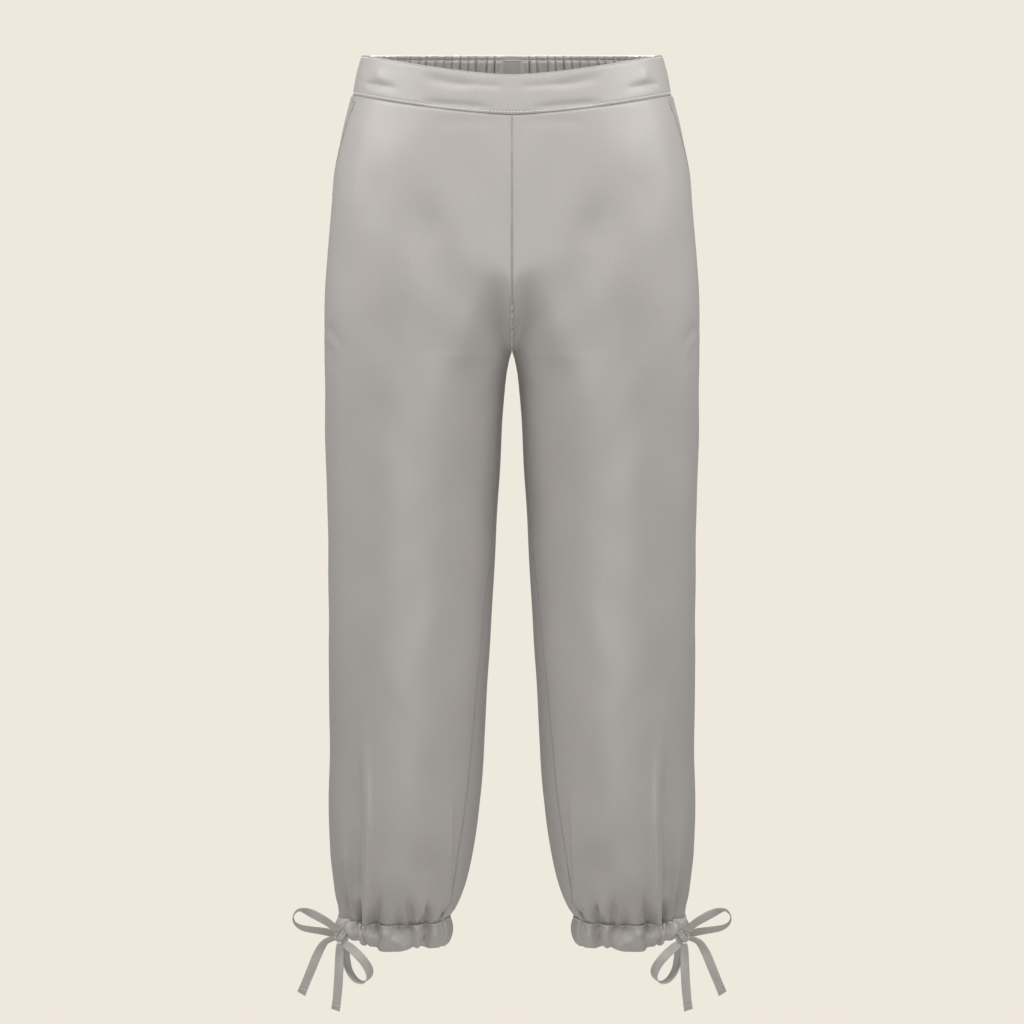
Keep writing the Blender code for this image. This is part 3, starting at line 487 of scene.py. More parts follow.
def rounded(part, power):
    """Depth of a rounded section at a share of its half width."""
    return np.clip(1.0 - np.abs(part) ** power, 0.0, 1.0) ** (1.0 / power)


def groove(distance, size, at=0.0):
    """Depth of a line pressed in along a seam, at a distance from it. size is its depth and width."""
    return size[0] * np.exp(-(((distance - at) / size[1]) ** 2))


def unit(vectors):
    return vectors / np.maximum(np.linalg.norm(vectors, axis=-1, keepdims=True), 1e-9)


def facing(normals, outward):
    """Normals turned over where they point against the outward direction."""
    return normals * np.sign(np.sum(normals * outward, axis=-1, keepdims=True))


def centre_share(angle):
    """How far a point lies from the centre seam to the side: 0 to 1, the same at every height."""
    angle = np.abs(np.asarray(angle, float))
    angle = np.where(angle > 180.0, 360.0 - angle, angle)
    outer_half = 0.5 + 0.5 * power_of(np.cos(np.radians(angle)), 2.0 / LEG_POWER)
    inner_half = 0.5 * (180.0 - angle) / 90.0
    return np.where(angle <= 90.0, outer_half, inner_half)


def waist_line(line, angle):
    """Height of a waist edge at an angle: it dips in front and follows the depth of the back."""
    share = centre_share(angle)
    front = line["front"] * (1.0 - share ** WAIST_CURVE)
    back = line["back"] * rounded(share, TORSO_POWER)
    return line["side"] + np.where(np.asarray(angle) > 0.0, front, back)


def body_point(angle, z, fork_front, fork_back):
    """A point of the cloth: the round body of the garment, turned into one leg over the fork."""
    angle = np.asarray(angle, float)
    z = np.broadcast_to(np.asarray(z, float), angle.shape)
    turn = np.radians(angle)
    in_front = np.sin(turn) >= 0.0
    above = z > CROTCH_Z
    half = np.where(above, smooth(TORSO, "half", z), smooth(LEG, "outer", z))
    inner = smooth(LEG, "inner", z)
    centre = (half + inner) / 2.0
    radius = (half - inner) / 2.0
    leg_depth = np.where(in_front, smooth(LEG, "front", z), smooth(LEG, "back", z))
    leg_x = centre + radius * power_of(np.cos(turn), 2.0 / LEG_POWER)
    squarer = 1.0 - ease((CROTCH_Z - z) / (CROTCH_Z - CROTCH_POWER_END_Z))
    power = LEG_POWER + (CROTCH_POWER - LEG_POWER) * squarer * (np.abs(angle) > 90.0)
    leg_y = leg_depth * np.abs(np.sin(turn)) ** (2.0 / power)
    towards = np.where(in_front, -1.0, 1.0)
    share = centre_share(angle)
    spread = ease((SPREAD_Z - z) / (SPREAD_Z - FRONT_FORK_Z))
    even_x = half * share
    x = np.where(above & (np.abs(angle) > 90.0), even_x + (leg_x - even_x) * spread, leg_x)
    torso_depth = np.where(in_front, smooth(TORSO, "front", z), smooth(TORSO, "back", z))
    torso_y = torso_depth * rounded(x / half, TORSO_POWER)
    round_y = leg_depth * rounded((x - centre) / radius, LEG_POWER) ** (LEG_POWER / power)
    merged_y = np.where(above, round_y, leg_y)
    settle = ease((SETTLE_Z - z) / (SETTLE_Z - CROTCH_Z))
    near_centre = ease((np.abs(angle) - FORK_ANGLE) / FORK_ANGLE_SPAN)
    at_seam = ease((np.abs(angle) - FORK_TURN_ANGLE) / FORK_TURN_SPAN)
    sharpness = FORK_TURN_AWAY + (FORK_TURN_CENTRE - FORK_TURN_AWAY) * at_seam
    fork = np.where(in_front, fork_front, fork_back)
    merge = 1.0 - (1.0 - fork * fork) ** sharpness
    merge = settle + (merge - settle) * near_centre
    y = towards * (torso_y + (merged_y - torso_y) * merge)
    return np.stack((x, y, z), axis=-1)


def fork_share(row, rise, fork_z):
    """How far the centre seam has come from the start of the fork to the crotch at a row: 0 to 1."""
    centre = WAIST_SEAM["side"] + rise
    z = centre + (CROTCH_Z - centre) * row
    return np.clip((fork_z - z) / (fork_z - CROTCH_Z), 0.0, 1.0)


def torso_surface(row, angle):
    """A point between the waist seam (row 0) and the crotch (row 1)."""
    top = waist_line(WAIST_SEAM, angle)
    z = top + (CROTCH_Z - top) * row
    fork_front = fork_share(row, WAIST_SEAM["front"], FRONT_FORK_Z)
    fork_back = fork_share(row, WAIST_SEAM["back"], BACK_FORK_Z)
    return body_point(angle, z, fork_front, fork_back)


def leg_surface(z, angle):
    return body_point(angle, z, 1.0, 1.0)


def band_surface(part, angle):
    """A point of the waistband: part 0 at the waist seam, 1 at the top edge."""
    low = waist_line(WAIST_SEAM, angle)
    high = waist_line(WAIST_TOP, angle)
    return body_point(angle, low + (high - low) * part, 0.0, 0.0)


def bump(angle, middle, width):
    """A soft rise of height 1 around an angle."""
    away = (angle - middle + 180.0) % 360.0 - 180.0
    return np.exp(-0.5 * (away / width) ** 2)


def leg_fold_height(angle, z):
    """Sum of the folds of the lower leg, which fade out towards their upper ends."""
    total = np.zeros(np.shape(angle))
    for fold in LEG_FOLDS:
        rise = np.clip((z - HEM_Z) / (fold["top"] - HEM_Z), 0.0, 1.0)
        middle = fold["angle"] + fold["lean"] * rise
        total += fold["height"] * (1.0 - ease(rise)) * bump(angle, middle, fold["width"])
    return total


def cuff_pleat_height(angle):
    """Sum of the pleats at the lower edge of the casing."""
    total = np.zeros(np.shape(angle))
    for pleat in CUFF_PLEATS:
        total += CUFF_PLEAT_GAIN * pleat["height"] * bump(angle, pleat["angle"], pleat["width"])
    return total


def seat_gathers(angle, z, share):
    """Folds that the elastic leaves in the seat just below the back waistband."""
    wave = np.cos(TURN * SEAT_GATHERS * share + 0.9 * np.sin(5.0 * share))
    top = waist_line(WAIST_SEAM, angle)
    fade = 1.0 - ease((top - z) / (top - SEAT_GATHER_END_Z * (0.8 + 0.3 * share)))
    ends = ease(np.minimum(share, 1.0 - share) * 12.0)
    return SEAT_GATHER_HEIGHT * wave * fade * ends


def crease_height(creases, x, z):
    """Sum of listed ridges and troughs, each along its own bowed line."""
    total = np.zeros(x.shape)
    for crease in creases:
        run_x = crease["x1"] - crease["x0"]
        run_z = crease["z1"] - crease["z0"]
        length = math.hypot(run_x, run_z)
        from_x = x - crease["x0"]
        from_z = z - crease["z0"]
        part = (from_x * run_x + from_z * run_z) / length ** 2
        bend = crease["bow"] * 4.0 * part * (1.0 - part)
        towards = math.copysign(1.0, run_z if abs(run_z) > abs(run_x) else -run_x)
        away = towards * (from_x * run_z - from_z * run_x) / length - bend
        strength = np.where((part >= 0.0) & (part <= 1.0), 1.0, 0.0)
        if crease["grow"] > 0.0:
            strength = strength * ease(part / crease["grow"])
        if crease["fade"] > 0.0:
            strength = strength * ease((1.0 - part) / crease["fade"])
        width = crease["width"] * (1.0 + crease["lean"] * np.tanh(away / crease["width"]))
        soft = np.exp(-0.5 * (away / width) ** 2)
        sharp = np.exp(-1.1 * np.abs(away / width))
        total += crease["height"] * strength * (soft + (sharp - soft) * crease["crisp"])
    return total


def hollow_height(hollows, x, z):
    total = np.zeros(x.shape)
    for hollow in hollows:
        far = ((x - hollow["x"]) / hollow["wide"]) ** 2 + ((z - hollow["z"]) / hollow["high"]) ** 2
        total += hollow["height"] * np.exp(-0.5 * far)
    return total


def hem_wave(angle, z):
    """Small rise and fall of the casing seam where the gathers pull at it."""
    turn = np.radians(angle)
    wave = 0.75 * np.sin(5.0 * turn + 0.6) + 0.55 * np.sin(9.0 * turn + 2.0)
    return (wave + 0.3 * np.sin(17.0 * turn)) * np.exp(-np.abs(z - HEM_Z) / 7.0)


def run_along(points, axis):
    """Length along one way of a grid of points, from its first row or column."""
    steps = np.linalg.norm(np.diff(points, axis=axis), axis=-1)
    start = np.zeros(np.take(steps, [0], axis=axis).shape)
    return np.concatenate((start, np.cumsum(steps, axis=axis)), axis=axis)


def grid_normals(points, way, closed=False):
    """Directions out of the cloth at each point of a grid."""
    if closed:
        across = np.roll(points, -1, axis=1) - np.roll(points, 1, axis=1)
    else:
        across = np.gradient(points, axis=1)
    along = np.gradient(points, axis=0)
    return unit(way * np.cross(across, along))


def spread_columns(length):
    """Distances along a row: close together by both edges and even between them."""
    near = np.array(EDGE_STEPS)
    middle = np.linspace(near[-1], length - near[-1], PANEL_MIDDLE)[1:-1]
    return np.concatenate((near, middle, length - near[::-1]))


def panel_rows():
    """Rows of a leg panel: shares of the way to the crotch, then heights down the leg."""
    front_centre = WAIST_SEAM["side"] + WAIST_SEAM["front"]
    reach = front_centre - CROTCH_Z
    fork_start = (front_centre - FRONT_FORK_Z) / reach
    near_top = np.array([0.3, 0.8, 1.4, 2.2, 3.2, 4.6]) / reach
    upper = np.linspace(7.0 / reach, fork_start, 44)[:-1]
    fork_turn = np.radians(np.linspace(0.0, 90.0, 30))
    fork = fork_start + (1.0 - fork_start) * np.sin(fork_turn)
    shares = np.concatenate(([0.0], near_top, upper, fork))
    thigh = np.arange(-309.0, -700.0, -6.0)
    calf = np.arange(-700.0, -850.0, -3.5)
    ankle = np.arange(-850.0, -906.0, -1.7)
    near_hem = np.array([-907.4, -909.0, -910.4, -911.5, -912.3, HEM_Z + SEAM_GAP / 2.0])
    return shares, np.concatenate((thigh, calf, ankle, near_hem))


def undulation(x, z):
    """Slight soft dents and swells all over the cloth, in patches that do not repeat."""
    total = np.zeros(x.shape)
    for rise, long_way, wide_way, phase in DRIFTS:
        down = TURN * z / long_way + 1.1 * np.sin(x / 37.0 + 2.0 * phase)
        across = TURN * x / wide_way + 1.2 * np.sin(z / 53.0 + 3.0 * phase)
        total += rise * np.sin(down + phase) * np.sin(across + 1.7 * phase)
    fade = ease((WAIST_SEAM["side"] - z) / 40.0) * ease((z - HEM_Z) / 60.0)
    return total * fade


def seam_pucker(run, distance):
    """Tiny ripples that sewing leaves along a seam, fading away from it."""
    wave = np.sin(TURN * run / 9.5 + 2.1 * np.sin(run / 17.0))
    wave = wave + 0.6 * np.sin(TURN * run / 5.3 + 1.0)
    return 0.14 * wave * np.exp(-distance / 4.5)


def panel_form(front):
    """Grids of a left leg panel: outer and inner points, run along the cloth and seam closeness."""
    way = 1.0 if front else -1.0
    shares, heights = panel_rows()
    angles = []
    points = []
    widths = []
    for index, row in enumerate(np.concatenate((shares, heights))):
        surface = torso_surface if index < len(shares) else leg_surface
        side_z = surface(row, np.array([0.0]))[0, 2]
        side = float(smooth(SEAMS, "side", side_z))
        inside = float(smooth(SEAMS, "inside", side_z))
        dense = np.linspace(way * 180.0 - inside, side, 500)
        run = run_along(surface(row, dense), 0)
        want = spread_columns(run[-1])
        inset = want.copy()
        inset[-1] = run[-1] - SEAM_GAP / 2.0
        if index >= len(shares) - 1:
            inset[0] = SEAM_GAP / 2.0
        angle = np.interp(inset, run, dense)
        angles.append(angle)
        points.append(surface(row, angle))
        widths.append(want)
    angle = np.array(angles)
    point = np.array(points)
    from_centre = np.array(widths)
    from_side = from_centre[:, -1:] - from_centre
    torso = np.arange(len(point)) < len(shares) - 1
    point[0, :, 2] -= SEAM_GAP / 2.0
    down = run_along(point, 0)
    up = down[-1:] - down
    normal = grid_normals(point, -way)
    normal[torso, 0, 0] = 0.0
    normal[-1, :, 2] = 0.0
    normal = unit(normal)
    x = point[..., 0]
    z = point[..., 2]
    height = leg_fold_height(angle, z)
    height += crease_height(FRONT_CREASES if front else BACK_CREASES, x, z)
    off_seam = np.where(torso[:, None], ease(from_centre / HOLLOW_OFF_SEAM), 1.0)
    height += off_seam * hollow_height(FRONT_HOLLOWS if front else BACK_HOLLOWS, x, z)
    height += undulation(x, z)
    if not front:
        share = from_centre / from_centre[:, -1:]
        height += seat_gathers(angle, z, share)
        phase = math.pi * (SEAT_FINE_GATHERS * share + 0.5 * np.sin(7.0 * share))
        fine = SEAT_FINE_HEIGHT * (np.abs(np.sin(phase)) ** 0.7 - 0.5)
        height += fine * np.exp(-down / SEAT_FINE_LENGTH) * ease(np.minimum(share, 1.0 - share) * 10.0)
    open_top = ease((POCKET_TOP_Z - z) / POCKET_TOP_SPAN)
    mouth = open_top * ease((z - POCKET_BOTTOM_Z) / POCKET_BOTTOM_SPAN)
    if front:
        edge = groove(from_side, POCKET_LIP, POCKET_LIP_FROM_SIDE) + groove(from_side, POCKET_EDGE)
    else:
        edge = groove(from_side, POCKET_BACK_EDGE)
    height -= groove(from_centre, CENTRE_DITCH)
    height -= mouth * edge + (1.0 - mouth) * groove(from_side, SIDE_DITCH)
    height -= groove(down, WAIST_DITCH) + groove(up, HEM_DITCH)
    height += seam_pucker(down, from_centre) + seam_pucker(down + 31.0, from_side)
    height += 0.8 * seam_pucker(from_centre, down) + seam_pucker(from_centre, up)
    outer = point + normal * height[..., None]
    outer[..., 2] += hem_wave(angle, z)
    inner = outer - normal * SHELL_WALL
    for grid in (outer, inner):
        grid[torso, 0, 0] = SEAM_GAP / 2.0
        grid[..., 0] = np.maximum(grid[..., 0], SEAM_GAP / 2.0)
    # closeness to seams and edges, kept for the painted shade along them
    near_edge = np.minimum(np.minimum(from_centre, from_side), np.minimum(down, up))
    near = np.exp(-near_edge / 1.1)
    return dict(outer=outer, inner=inner, across=from_centre, along=down, near=near)


def even_angles(surface, row, first, last, count):
    """Angles that lie evenly along an edge."""
    dense = np.linspace(first, last, 800)
    run = run_along(surface(row, dense), 0)
    return np.interp(np.linspace(0.0, run[-1], count), run, dense)


def both_sides(grid):
    """Join a grid that starts in the middle plane to its mirror image."""
    grid = grid.copy()
    if grid.ndim == 3:
        grid[:, 0, 0] = 0.0
        mirror = grid[:, :0:-1] * (-1.0, 1.0, 1.0)
    else:
        mirror = grid[:, :0:-1]
    return np.concatenate((mirror, grid), axis=1)


def band_parts():
    """Shares of the band's height: close together by both edges."""
    near = np.array([0.0, 0.35, 0.8, 1.4, 2.2, 3.2]) / BAND_HEIGHT
    middle = np.linspace(4.6 / BAND_HEIGHT, 1.0 - 4.6 / BAND_HEIGHT, 24)
    return np.concatenate((near, middle, 1.0 - near[::-1]))


def band_form(front):
    """Grids of a waistband: outer and inner points, run along the cloth and seam closeness."""
    way = 1.0 if front else -1.0
    half_columns = 150 if front else BAND_GATHERS * 6
    angle = even_angles(band_surface, 0.5, way * 180.0, 0.0, half_columns + 1)
    parts = band_parts()
    point = np.array([band_surface(part, angle) for part in parts])
    point[0, :, 2] += SEAM_GAP / 2.0
    across = run_along(point, 1)
    down = run_along(point[::-1], 0)[::-1]
    up = down[:1] - down
    normal = grid_normals(point, way)
    normal[:, 0, 0] = 0.0
    normal = unit(normal)
    edge = np.minimum(up, down)
    side = across[:, -1:] - across
    roll = -groove(up, BAND_LOWER_ROLL) - groove(down, BAND_UPPER_ROLL)
    side_ditch = -groove(side, BAND_SIDE_DITCH)
    if front:
        rows = groove(up, (1.0, 1.0), BAND_STITCH_INSET) + groove(down, (1.0, 1.0), BAND_STITCH_INSET)
        quilt = QUILT_HEIGHT * np.sin(TURN * across / QUILT_PITCH) * rows
        body = groove(up, BAND_FRONT_SWELL, BAND_MIDDLE)
        body = body + crease_height(BAND_CREASES, point[..., 0], point[..., 2])
        body = body + 0.25 * np.sin(across / 21.0) * np.sin(up / 9.0)
        outer_height = BAND_LIFT + roll + side_ditch + quilt + body
        outer_height = outer_height - groove(down, BAND_UPPER_STITCH, BAND_STITCH_INSET)
        outer_height = outer_height - groove(up, BAND_LOWER_STITCH, BAND_STITCH_INSET)
        inner_height = BAND_LIFT - BAND_WALL - roll * 0.5 + 0.6 * body
    else:
        share = across / across[:, -1:]
        plain = ease((share - BAND_PLAIN_SHARE) / BAND_PLAIN_SPAN)
        ends = ease((1.0 - share) * 30.0)
        shift = 0.004 * np.sin(23.0 * share) + 0.003 * np.sin(57.0 * share)
        phase = math.pi * BAND_GATHERS / 2.0 * (share + shift)
        puff = np.abs(np.sin(phase)) ** 0.4
        uneven = 1.0 + 0.25 * np.sin(9.0 * share + 1.0) + 0.2 * np.sin(31.0 * share)
        fine = 0.25 * np.sin(phase * 3.0 + 4.0 * up / BAND_HEIGHT)
        swell = (BAND_GATHER_HEIGHT * (puff - 0.55) * uneven + fine) * plain * ends
        bulge = groove(up, BAND_BACK_SWELL, BAND_MIDDLE)
        pinch = 0.55 + 0.45 * ease(edge / 7.0)
        outer_height = swell * pinch + bulge + roll + side_ditch
        outer_height = outer_height - groove(down, BAND_ELASTIC_STITCH, BAND_ELASTIC_INSET) * plain
        inner_height = bulge - BAND_WALL - BAND_GATHER_INSIDE * swell * pinch - roll * 0.5
        pressed = groove(down, BAND_ELASTIC_INSIDE, BAND_ELASTIC_INSET_INSIDE)
        inner_height = np.minimum(inner_height + pressed * plain, outer_height - BAND_LEAST_WALL)
    outer = point + normal * outer_height[..., None]
    inner = point + normal * inner_height[..., None]
    for grid in (outer, inner):
        grid[:, -1, 1] -= way * SEAM_GAP / 2.0
    # closeness to the edges and side seam, kept for the painted shade along them
    near = np.exp(-np.minimum(edge, side) / 1.1)
    across = np.concatenate((-across[:, :0:-1], across), axis=1)
    return dict(
        outer=both_sides(outer), inner=both_sides(inner), across=across,
        along=both_sides(up), near=both_sides(near),
    )


def cuff_creases(front, back, point, z):
    """Height of the creases of the side that each point is on, at one height of the casing."""
    x = point[:, 0]
    level = np.full(x.shape, z)
    return np.where(point[:, 1] < 0.0, crease_height(front, x, level), crease_height(back, x, level))


def cuff_form():
    """Grids of the left ankle casing, closed around the ankle."""
    angle = np.arange(CUFF_COLUMNS) * 360.0 / CUFF_COLUMNS - 180.0
    tall = HEM_Z - HEM_BOTTOM_Z
    near_top = np.array([0.15, 0.5, 1.0, 1.6, 2.4, 3.4]) / tall
    middle = np.linspace(4.8 / tall, 1.0 - 2.6 / tall, 18)
    near_bottom = 1.0 - np.array([1.8, 1.1, 0.5, 0.0]) / tall
    parts = np.concatenate((near_top, middle, near_bottom))
    at_seam = leg_fold_height(angle, HEM_Z)
    at_edge = cuff_pleat_height(angle)
    pucker_run = np.radians(angle) * CUFF_PUCKER_RADIUS
    outer = []
    inner = []
    near = []
    for part in parts:
        z = HEM_Z - tall * part
        from_top = tall * part
        from_bottom = tall - from_top
        point = leg_surface(z, angle)
        x = point[:, 0]
        axis = leg_surface(z, np.array([0.0, 180.0])).mean(axis=0)
        beside = np.array([leg_surface(z + 1.0, angle), point])
        normal = facing(unit(grid_normals(beside, 1.0, closed=True)[1] * (1, 1, 0)), point - axis)
        height = at_seam + (at_edge - at_seam) * part + CUFF_BULGE * 4.0 * part * (1.0 - part)
        height = height + cuff_creases(CUFF_FRONT_CREASES, CUFF_BACK_CREASES, point, z)
        height = height + (1.0 - part) ** 6 * cuff_creases(FRONT_CREASES, BACK_CREASES, point, HEM_Z)
        height = height - groove(from_top, CUFF_TOP_DITCH) - groove(from_bottom, CUFF_LOWER_ROLL)
        height = height - groove(from_top, CUFF_STITCH, CUFF_STITCH_FROM_TOP)
        height = height + 1.3 * seam_pucker(pucker_run, from_top)
        height = height + seam_pucker(pucker_run + 5.0, from_bottom)
        drop = crease_height(CUFF_FRONT_CREASES, x, np.full(x.shape, z)) * (point[:, 1] < 0.0)
        by_knot = ease((x - CUFF_DRAWN_START_X) / CUFF_DRAWN_SPAN) * ease((18.0 - point[:, 1]) / 50.0)
        shifted = point.copy()
        shifted[:, 2] += hem_wave(angle, z) - CUFF_EDGE_DROP * part * at_edge
        shifted[:, 2] -= CUFF_CREASE_LIFT * part * drop
        shifted[:, 2] += CUFF_DRAWN_RISE * by_knot * part * part
        outer.append(shifted + normal * height[:, None])
        inner.append(shifted + normal * (height - CUFF_WALL)[:, None])
        # closeness to the casing's edges, kept for the painted shade along them
        near.append(np.full(x.shape, math.exp(-min(from_top, from_bottom) / 1.1)))
    shape = (len(parts), CUFF_COLUMNS)
    return dict(
        outer=np.array(outer), inner=np.array(inner), near=np.array(near),
        across=np.broadcast_to(np.radians(angle) * CUFF_MIDDLE_RADIUS, shape),
        along=np.broadcast_to((tall * parts)[:, None], shape),
    )


def quads(grid, turned=False):
    """Faces between the rows and columns of a grid of point numbers."""
    corners = [grid[:-1, :-1], grid[:-1, 1:], grid[1:, 1:], grid[1:, :-1]]
    if turned:
        corners = [corners[0], *corners[:0:-1]]
    return np.stack(corners, axis=-1).reshape(-1, 4)


def ring_faces(rings, sides, first=0, turned=False):
    """Faces between closed rings of points, one ring after another."""
    grid = first + np.arange(rings * sides).reshape(rings, sides)
    return quads(np.column_stack((grid, grid[:, 0])), turned).tolist()


def wall_faces(rows, columns, closed):
    """Faces of a wall between an outer grid and an inner one, and which of them are on its inside."""
    outer = np.arange(rows * columns).reshape(rows, columns)
    if closed:
        outer = np.column_stack((outer, outer[:, 0]))
    inner = outer + rows * columns
    rims = [quads(np.stack((outer[0], inner[0])), True), quads(np.stack((outer[-1], inner[-1])))]
    if not closed:
        rims.append(quads(np.stack((outer[:, 0], inner[:, 0]))))
        rims.append(quads(np.stack((outer[:, -1], inner[:, -1])), True))
    seen = np.concatenate((quads(outer), *rims))
    faces = np.concatenate((seen, quads(inner, True)))
    return faces, np.arange(len(faces)) >= len(seen)


def make_object(
    name, points, faces, materials, mirrored=False, uv=None, near=None, inside=None, sharp=50.0,
):
    """A smooth-shaded mesh object from points in millimetres of the left side."""
    faces = [tuple(face) for face in faces]
    if mirrored:
        points = points * (-1.0, 1.0, 1.0)
        faces = [face[::-1] for face in faces]
    mesh = bpy.data.meshes.new(name)
    mesh.from_pydata((points * MM).tolist(), [], faces)
    mesh.polygons.foreach_set("use_smooth", np.ones(len(mesh.polygons), bool))
    for material in materials:
        mesh.materials.append(material)
    if inside is not None:
        mesh.polygons.foreach_set("material_index", inside.astype(np.int32))
    if uv is not None:
        corners = np.zeros(len(mesh.loops), np.int32)
        mesh.loops.foreach_get("vertex_index", corners)
        layer = mesh.uv_layers.new(name="cloth")
        layer.data.foreach_set("uv", (uv[corners] * MM).astype(np.float32).ravel())
    # closeness to seams and edges, which the cloth materials turn into painted shade
    shade = mesh.attributes.new("seam", "FLOAT", "POINT")
    near = np.zeros(len(points)) if near is None else near
    shade.data.foreach_set("value", near.astype(np.float32))
    mesh.update()
    mesh.set_sharp_from_angle(angle=math.radians(sharp))
    return add_object(name, mesh)


def add_object(name, data):
    """Put a mesh, camera or lamp into the scene."""
    made = bpy.data.objects.new(name, data)
    bpy.context.scene.collection.objects.link(made)
    return made


def outward_faces(points, faces):
    """Turn all faces over if they enclose a negative volume."""
    corner = points[np.asarray(faces)]
    volume = np.sum(corner[:, 0] * np.cross(corner[:, 1], corner[:, 2]))
    volume += np.sum(corner[:, 0] * np.cross(corner[:, 2], corner[:, 3]))
    return faces if volume > 0.0 else np.asarray(faces)[:, ::-1]


def make_shell(name, form, materials, mirrored=False, closed=False):
    """A cloth piece: a wall between the outer grid of a form and its inner one."""
    rows, columns = form["outer"].shape[:2]
    points = np.concatenate((form["outer"].reshape(-1, 3), form["inner"].reshape(-1, 3)))
    faces, inside = wall_faces(rows, columns, closed)
    uv = np.stack((form["across"].ravel(), form["along"].ravel()), axis=1)
    # closeness for the painted shade by seams and edges; the inner face gets none
    near = form["near"].ravel()
    return make_object(
        name, points, outward_faces(points, faces), materials, mirrored,
        np.concatenate((uv, uv)), np.concatenate((near, near * 0.0)), inside,
    )


def feed(tree, made, values):
    """Set inputs of a node, or link them where the value is another node's output."""
    for name, value in values.items():
        if isinstance(value, bpy.types.NodeSocket):
            tree.links.new(value, made.inputs[name])
        else:
            made.inputs[name].default_value = value
    return made


def node(tree, kind, values=(), **settings):
    made = tree.nodes.new("ShaderNode" + kind)
    for name, value in settings.items():
        setattr(made, name, value)
    return feed(tree, made, dict(values))


def math_node(tree, operation, *values):
    return node(tree, "Math", enumerate(values), operation=operation).outputs[0]


def noise_node(tree, place, scale, detail, stretch=(1.0, 1.0, 1.0)):
    mapping = node(tree, "Mapping", {"Vector": place, "Scale": stretch})
    values = {"Vector": mapping.outputs["Vector"], "Scale": scale, "Detail": detail}
    return node(tree, "TexNoise", values).outputs["Fac"]


def new_material(name):
    material = bpy.data.materials.new(name)
    material.use_nodes = True
    return material, material.node_tree, material.node_tree.nodes["Principled BSDF"]


def paint(tree, color, tone):
    """A color made lighter or darker by a tone."""
    return node(tree, "VectorMath", {0: color, "Scale": tone}, operation="SCALE").outputs["Vector"]


def cloth_material(name, color, roughness, sheen, weave):
    """Woven cloth: fine diagonal weave, slight slubs, soft changes of tone, painted shade by seams and
    edges.
    """
    material, tree, shader = new_material(name)
    place = node(tree, "TexCoord").outputs
    thread = node(
        tree, "TexWave", {"Vector": place["UV"], "Scale": 620.0, "Distortion": 1.5, "Detail": 1.0},
        wave_type="BANDS", bands_direction="DIAGONAL",
    )
    grain = noise_node(tree, place["UV"], 900.0, 2.0)
    slub = noise_node(tree, place["UV"], 160.0, 3.0, (4.0, 0.5, 1.0))
    cloud = noise_node(tree, place["Object"], 14.0, 3.0)
    seam = node(tree, "Attribute", attribute_name="seam").outputs["Fac"]
    slub_tone = math_node(tree, "MULTIPLY_ADD", slub, 0.10, 0.95)
    cloud_tone = math_node(tree, "MULTIPLY_ADD", cloud, 0.09, 0.955)
    grain_tone = math_node(tree, "MULTIPLY_ADD", grain, 0.26, 0.87)
    # painted shade: the colour is darkened by up to a fifth near seams and edges
    seam_shade_tone = math_node(tree, "MULTIPLY_ADD", seam, -0.20, 1.0)
    wide_tone = math_node(tree, "MULTIPLY", slub_tone, cloud_tone)
    fine_tone = math_node(tree, "MULTIPLY", grain_tone, seam_shade_tone)
    ribs = math_node(tree, "MULTIPLY", thread.outputs["Fac"], 0.6)
    relief = {"Strength": weave, "Distance": 0.00012, "Height": math_node(tree, "ADD", ribs, grain)}
    feed(tree, shader, {
        "Base Color": paint(tree, color, math_node(tree, "MULTIPLY", wide_tone, fine_tone)),
        "Roughness": math_node(tree, "MULTIPLY_ADD", slub, 0.12, roughness - 0.06),
        "Normal": node(tree, "Bump", relief).outputs["Normal"],
        "Sheen Weight": sheen, "Sheen Roughness": 0.45, "Specular IOR Level": 0.5,
    })
    return material


def thread_material(name, color):
    material, tree, shader = new_material(name)
    twist = noise_node(tree, node(tree, "TexCoord").outputs["Object"], 1500.0, 2.0)
    tone = math_node(tree, "MULTIPLY_ADD", twist, 0.3, 0.85)
    feed(tree, shader, {"Base Color": paint(tree, color, tone), "Roughness": 0.5, "Sheen Weight": 0.3})
    return material


def read_along(run, values, at):
    """Rows of values at places along a line."""
    return np.stack([np.interp(at, run, column) for column in values.T], axis=1)


def square_to(vectors, along):
    """Unit directions that are left when the part along a line is taken out."""
    return unit(vectors - along * np.sum(vectors * along, axis=1, keepdims=True))


# One stitch from end to end: place along it, and thickness and sinking in radii.
STITCH_RINGS = ((-0.5, 0.35, -0.5), (-0.32, 1.0, 0.0), (0.32, 1.0, 0.0), (0.5, 0.35, -0.5))
STITCH_SIDES = 6
STITCH_ENDS = ((0, 5, 4, 3), (0, 3, 2, 1), (18, 19, 20, 21), (18, 21, 22, 23))


def stitch_points(line, normal, pitch, length, radius):
    """Points and faces of a row of short rounded stitches laid along a line."""
    run = run_along(line, 0)
    middles = np.arange(pitch / 2.0, run[-1] - pitch / 2.0, pitch)
    centre = read_along(run, line, middles)
    along = unit(read_along(run, line, middles + 0.4) - read_along(run, line, middles - 0.4))
    up = square_to(read_along(run, normal, middles), along)
    beside = np.cross(along, up)
    points = []
    for far, size, sink in STITCH_RINGS:
        for side in np.arange(STITCH_SIDES) * TURN / STITCH_SIDES:
            rise = math.sin(side) * radius * size + sink * radius
            offset = beside * math.cos(side) * radius * size + up * rise
            points.append(centre + along * far * length + offset)
    faces = np.array(ring_faces(len(STITCH_RINGS), STITCH_SIDES) + list(STITCH_ENDS))
    faces = faces[None] + (np.arange(len(middles)) * len(points))[:, None, None]
    return np.stack(points, axis=1).reshape(-1, 3), faces.reshape(-1, 4)


def make_stitches(name, rows, material, mirrored=False):
    """One object with several rows of stitches: each row is a line, its normals and its sizes."""
    points = []
    faces = []
    count = 0
    for row in rows:
        row_points, row_faces = stitch_points(*row)
        points.append(row_points)
        faces.append(row_faces + count)
        count += len(row_points)
    points = np.concatenate(points)
    faces = np.concatenate(faces)
    return make_object(name, points, faces, [material], mirrored, sharp=80.0)


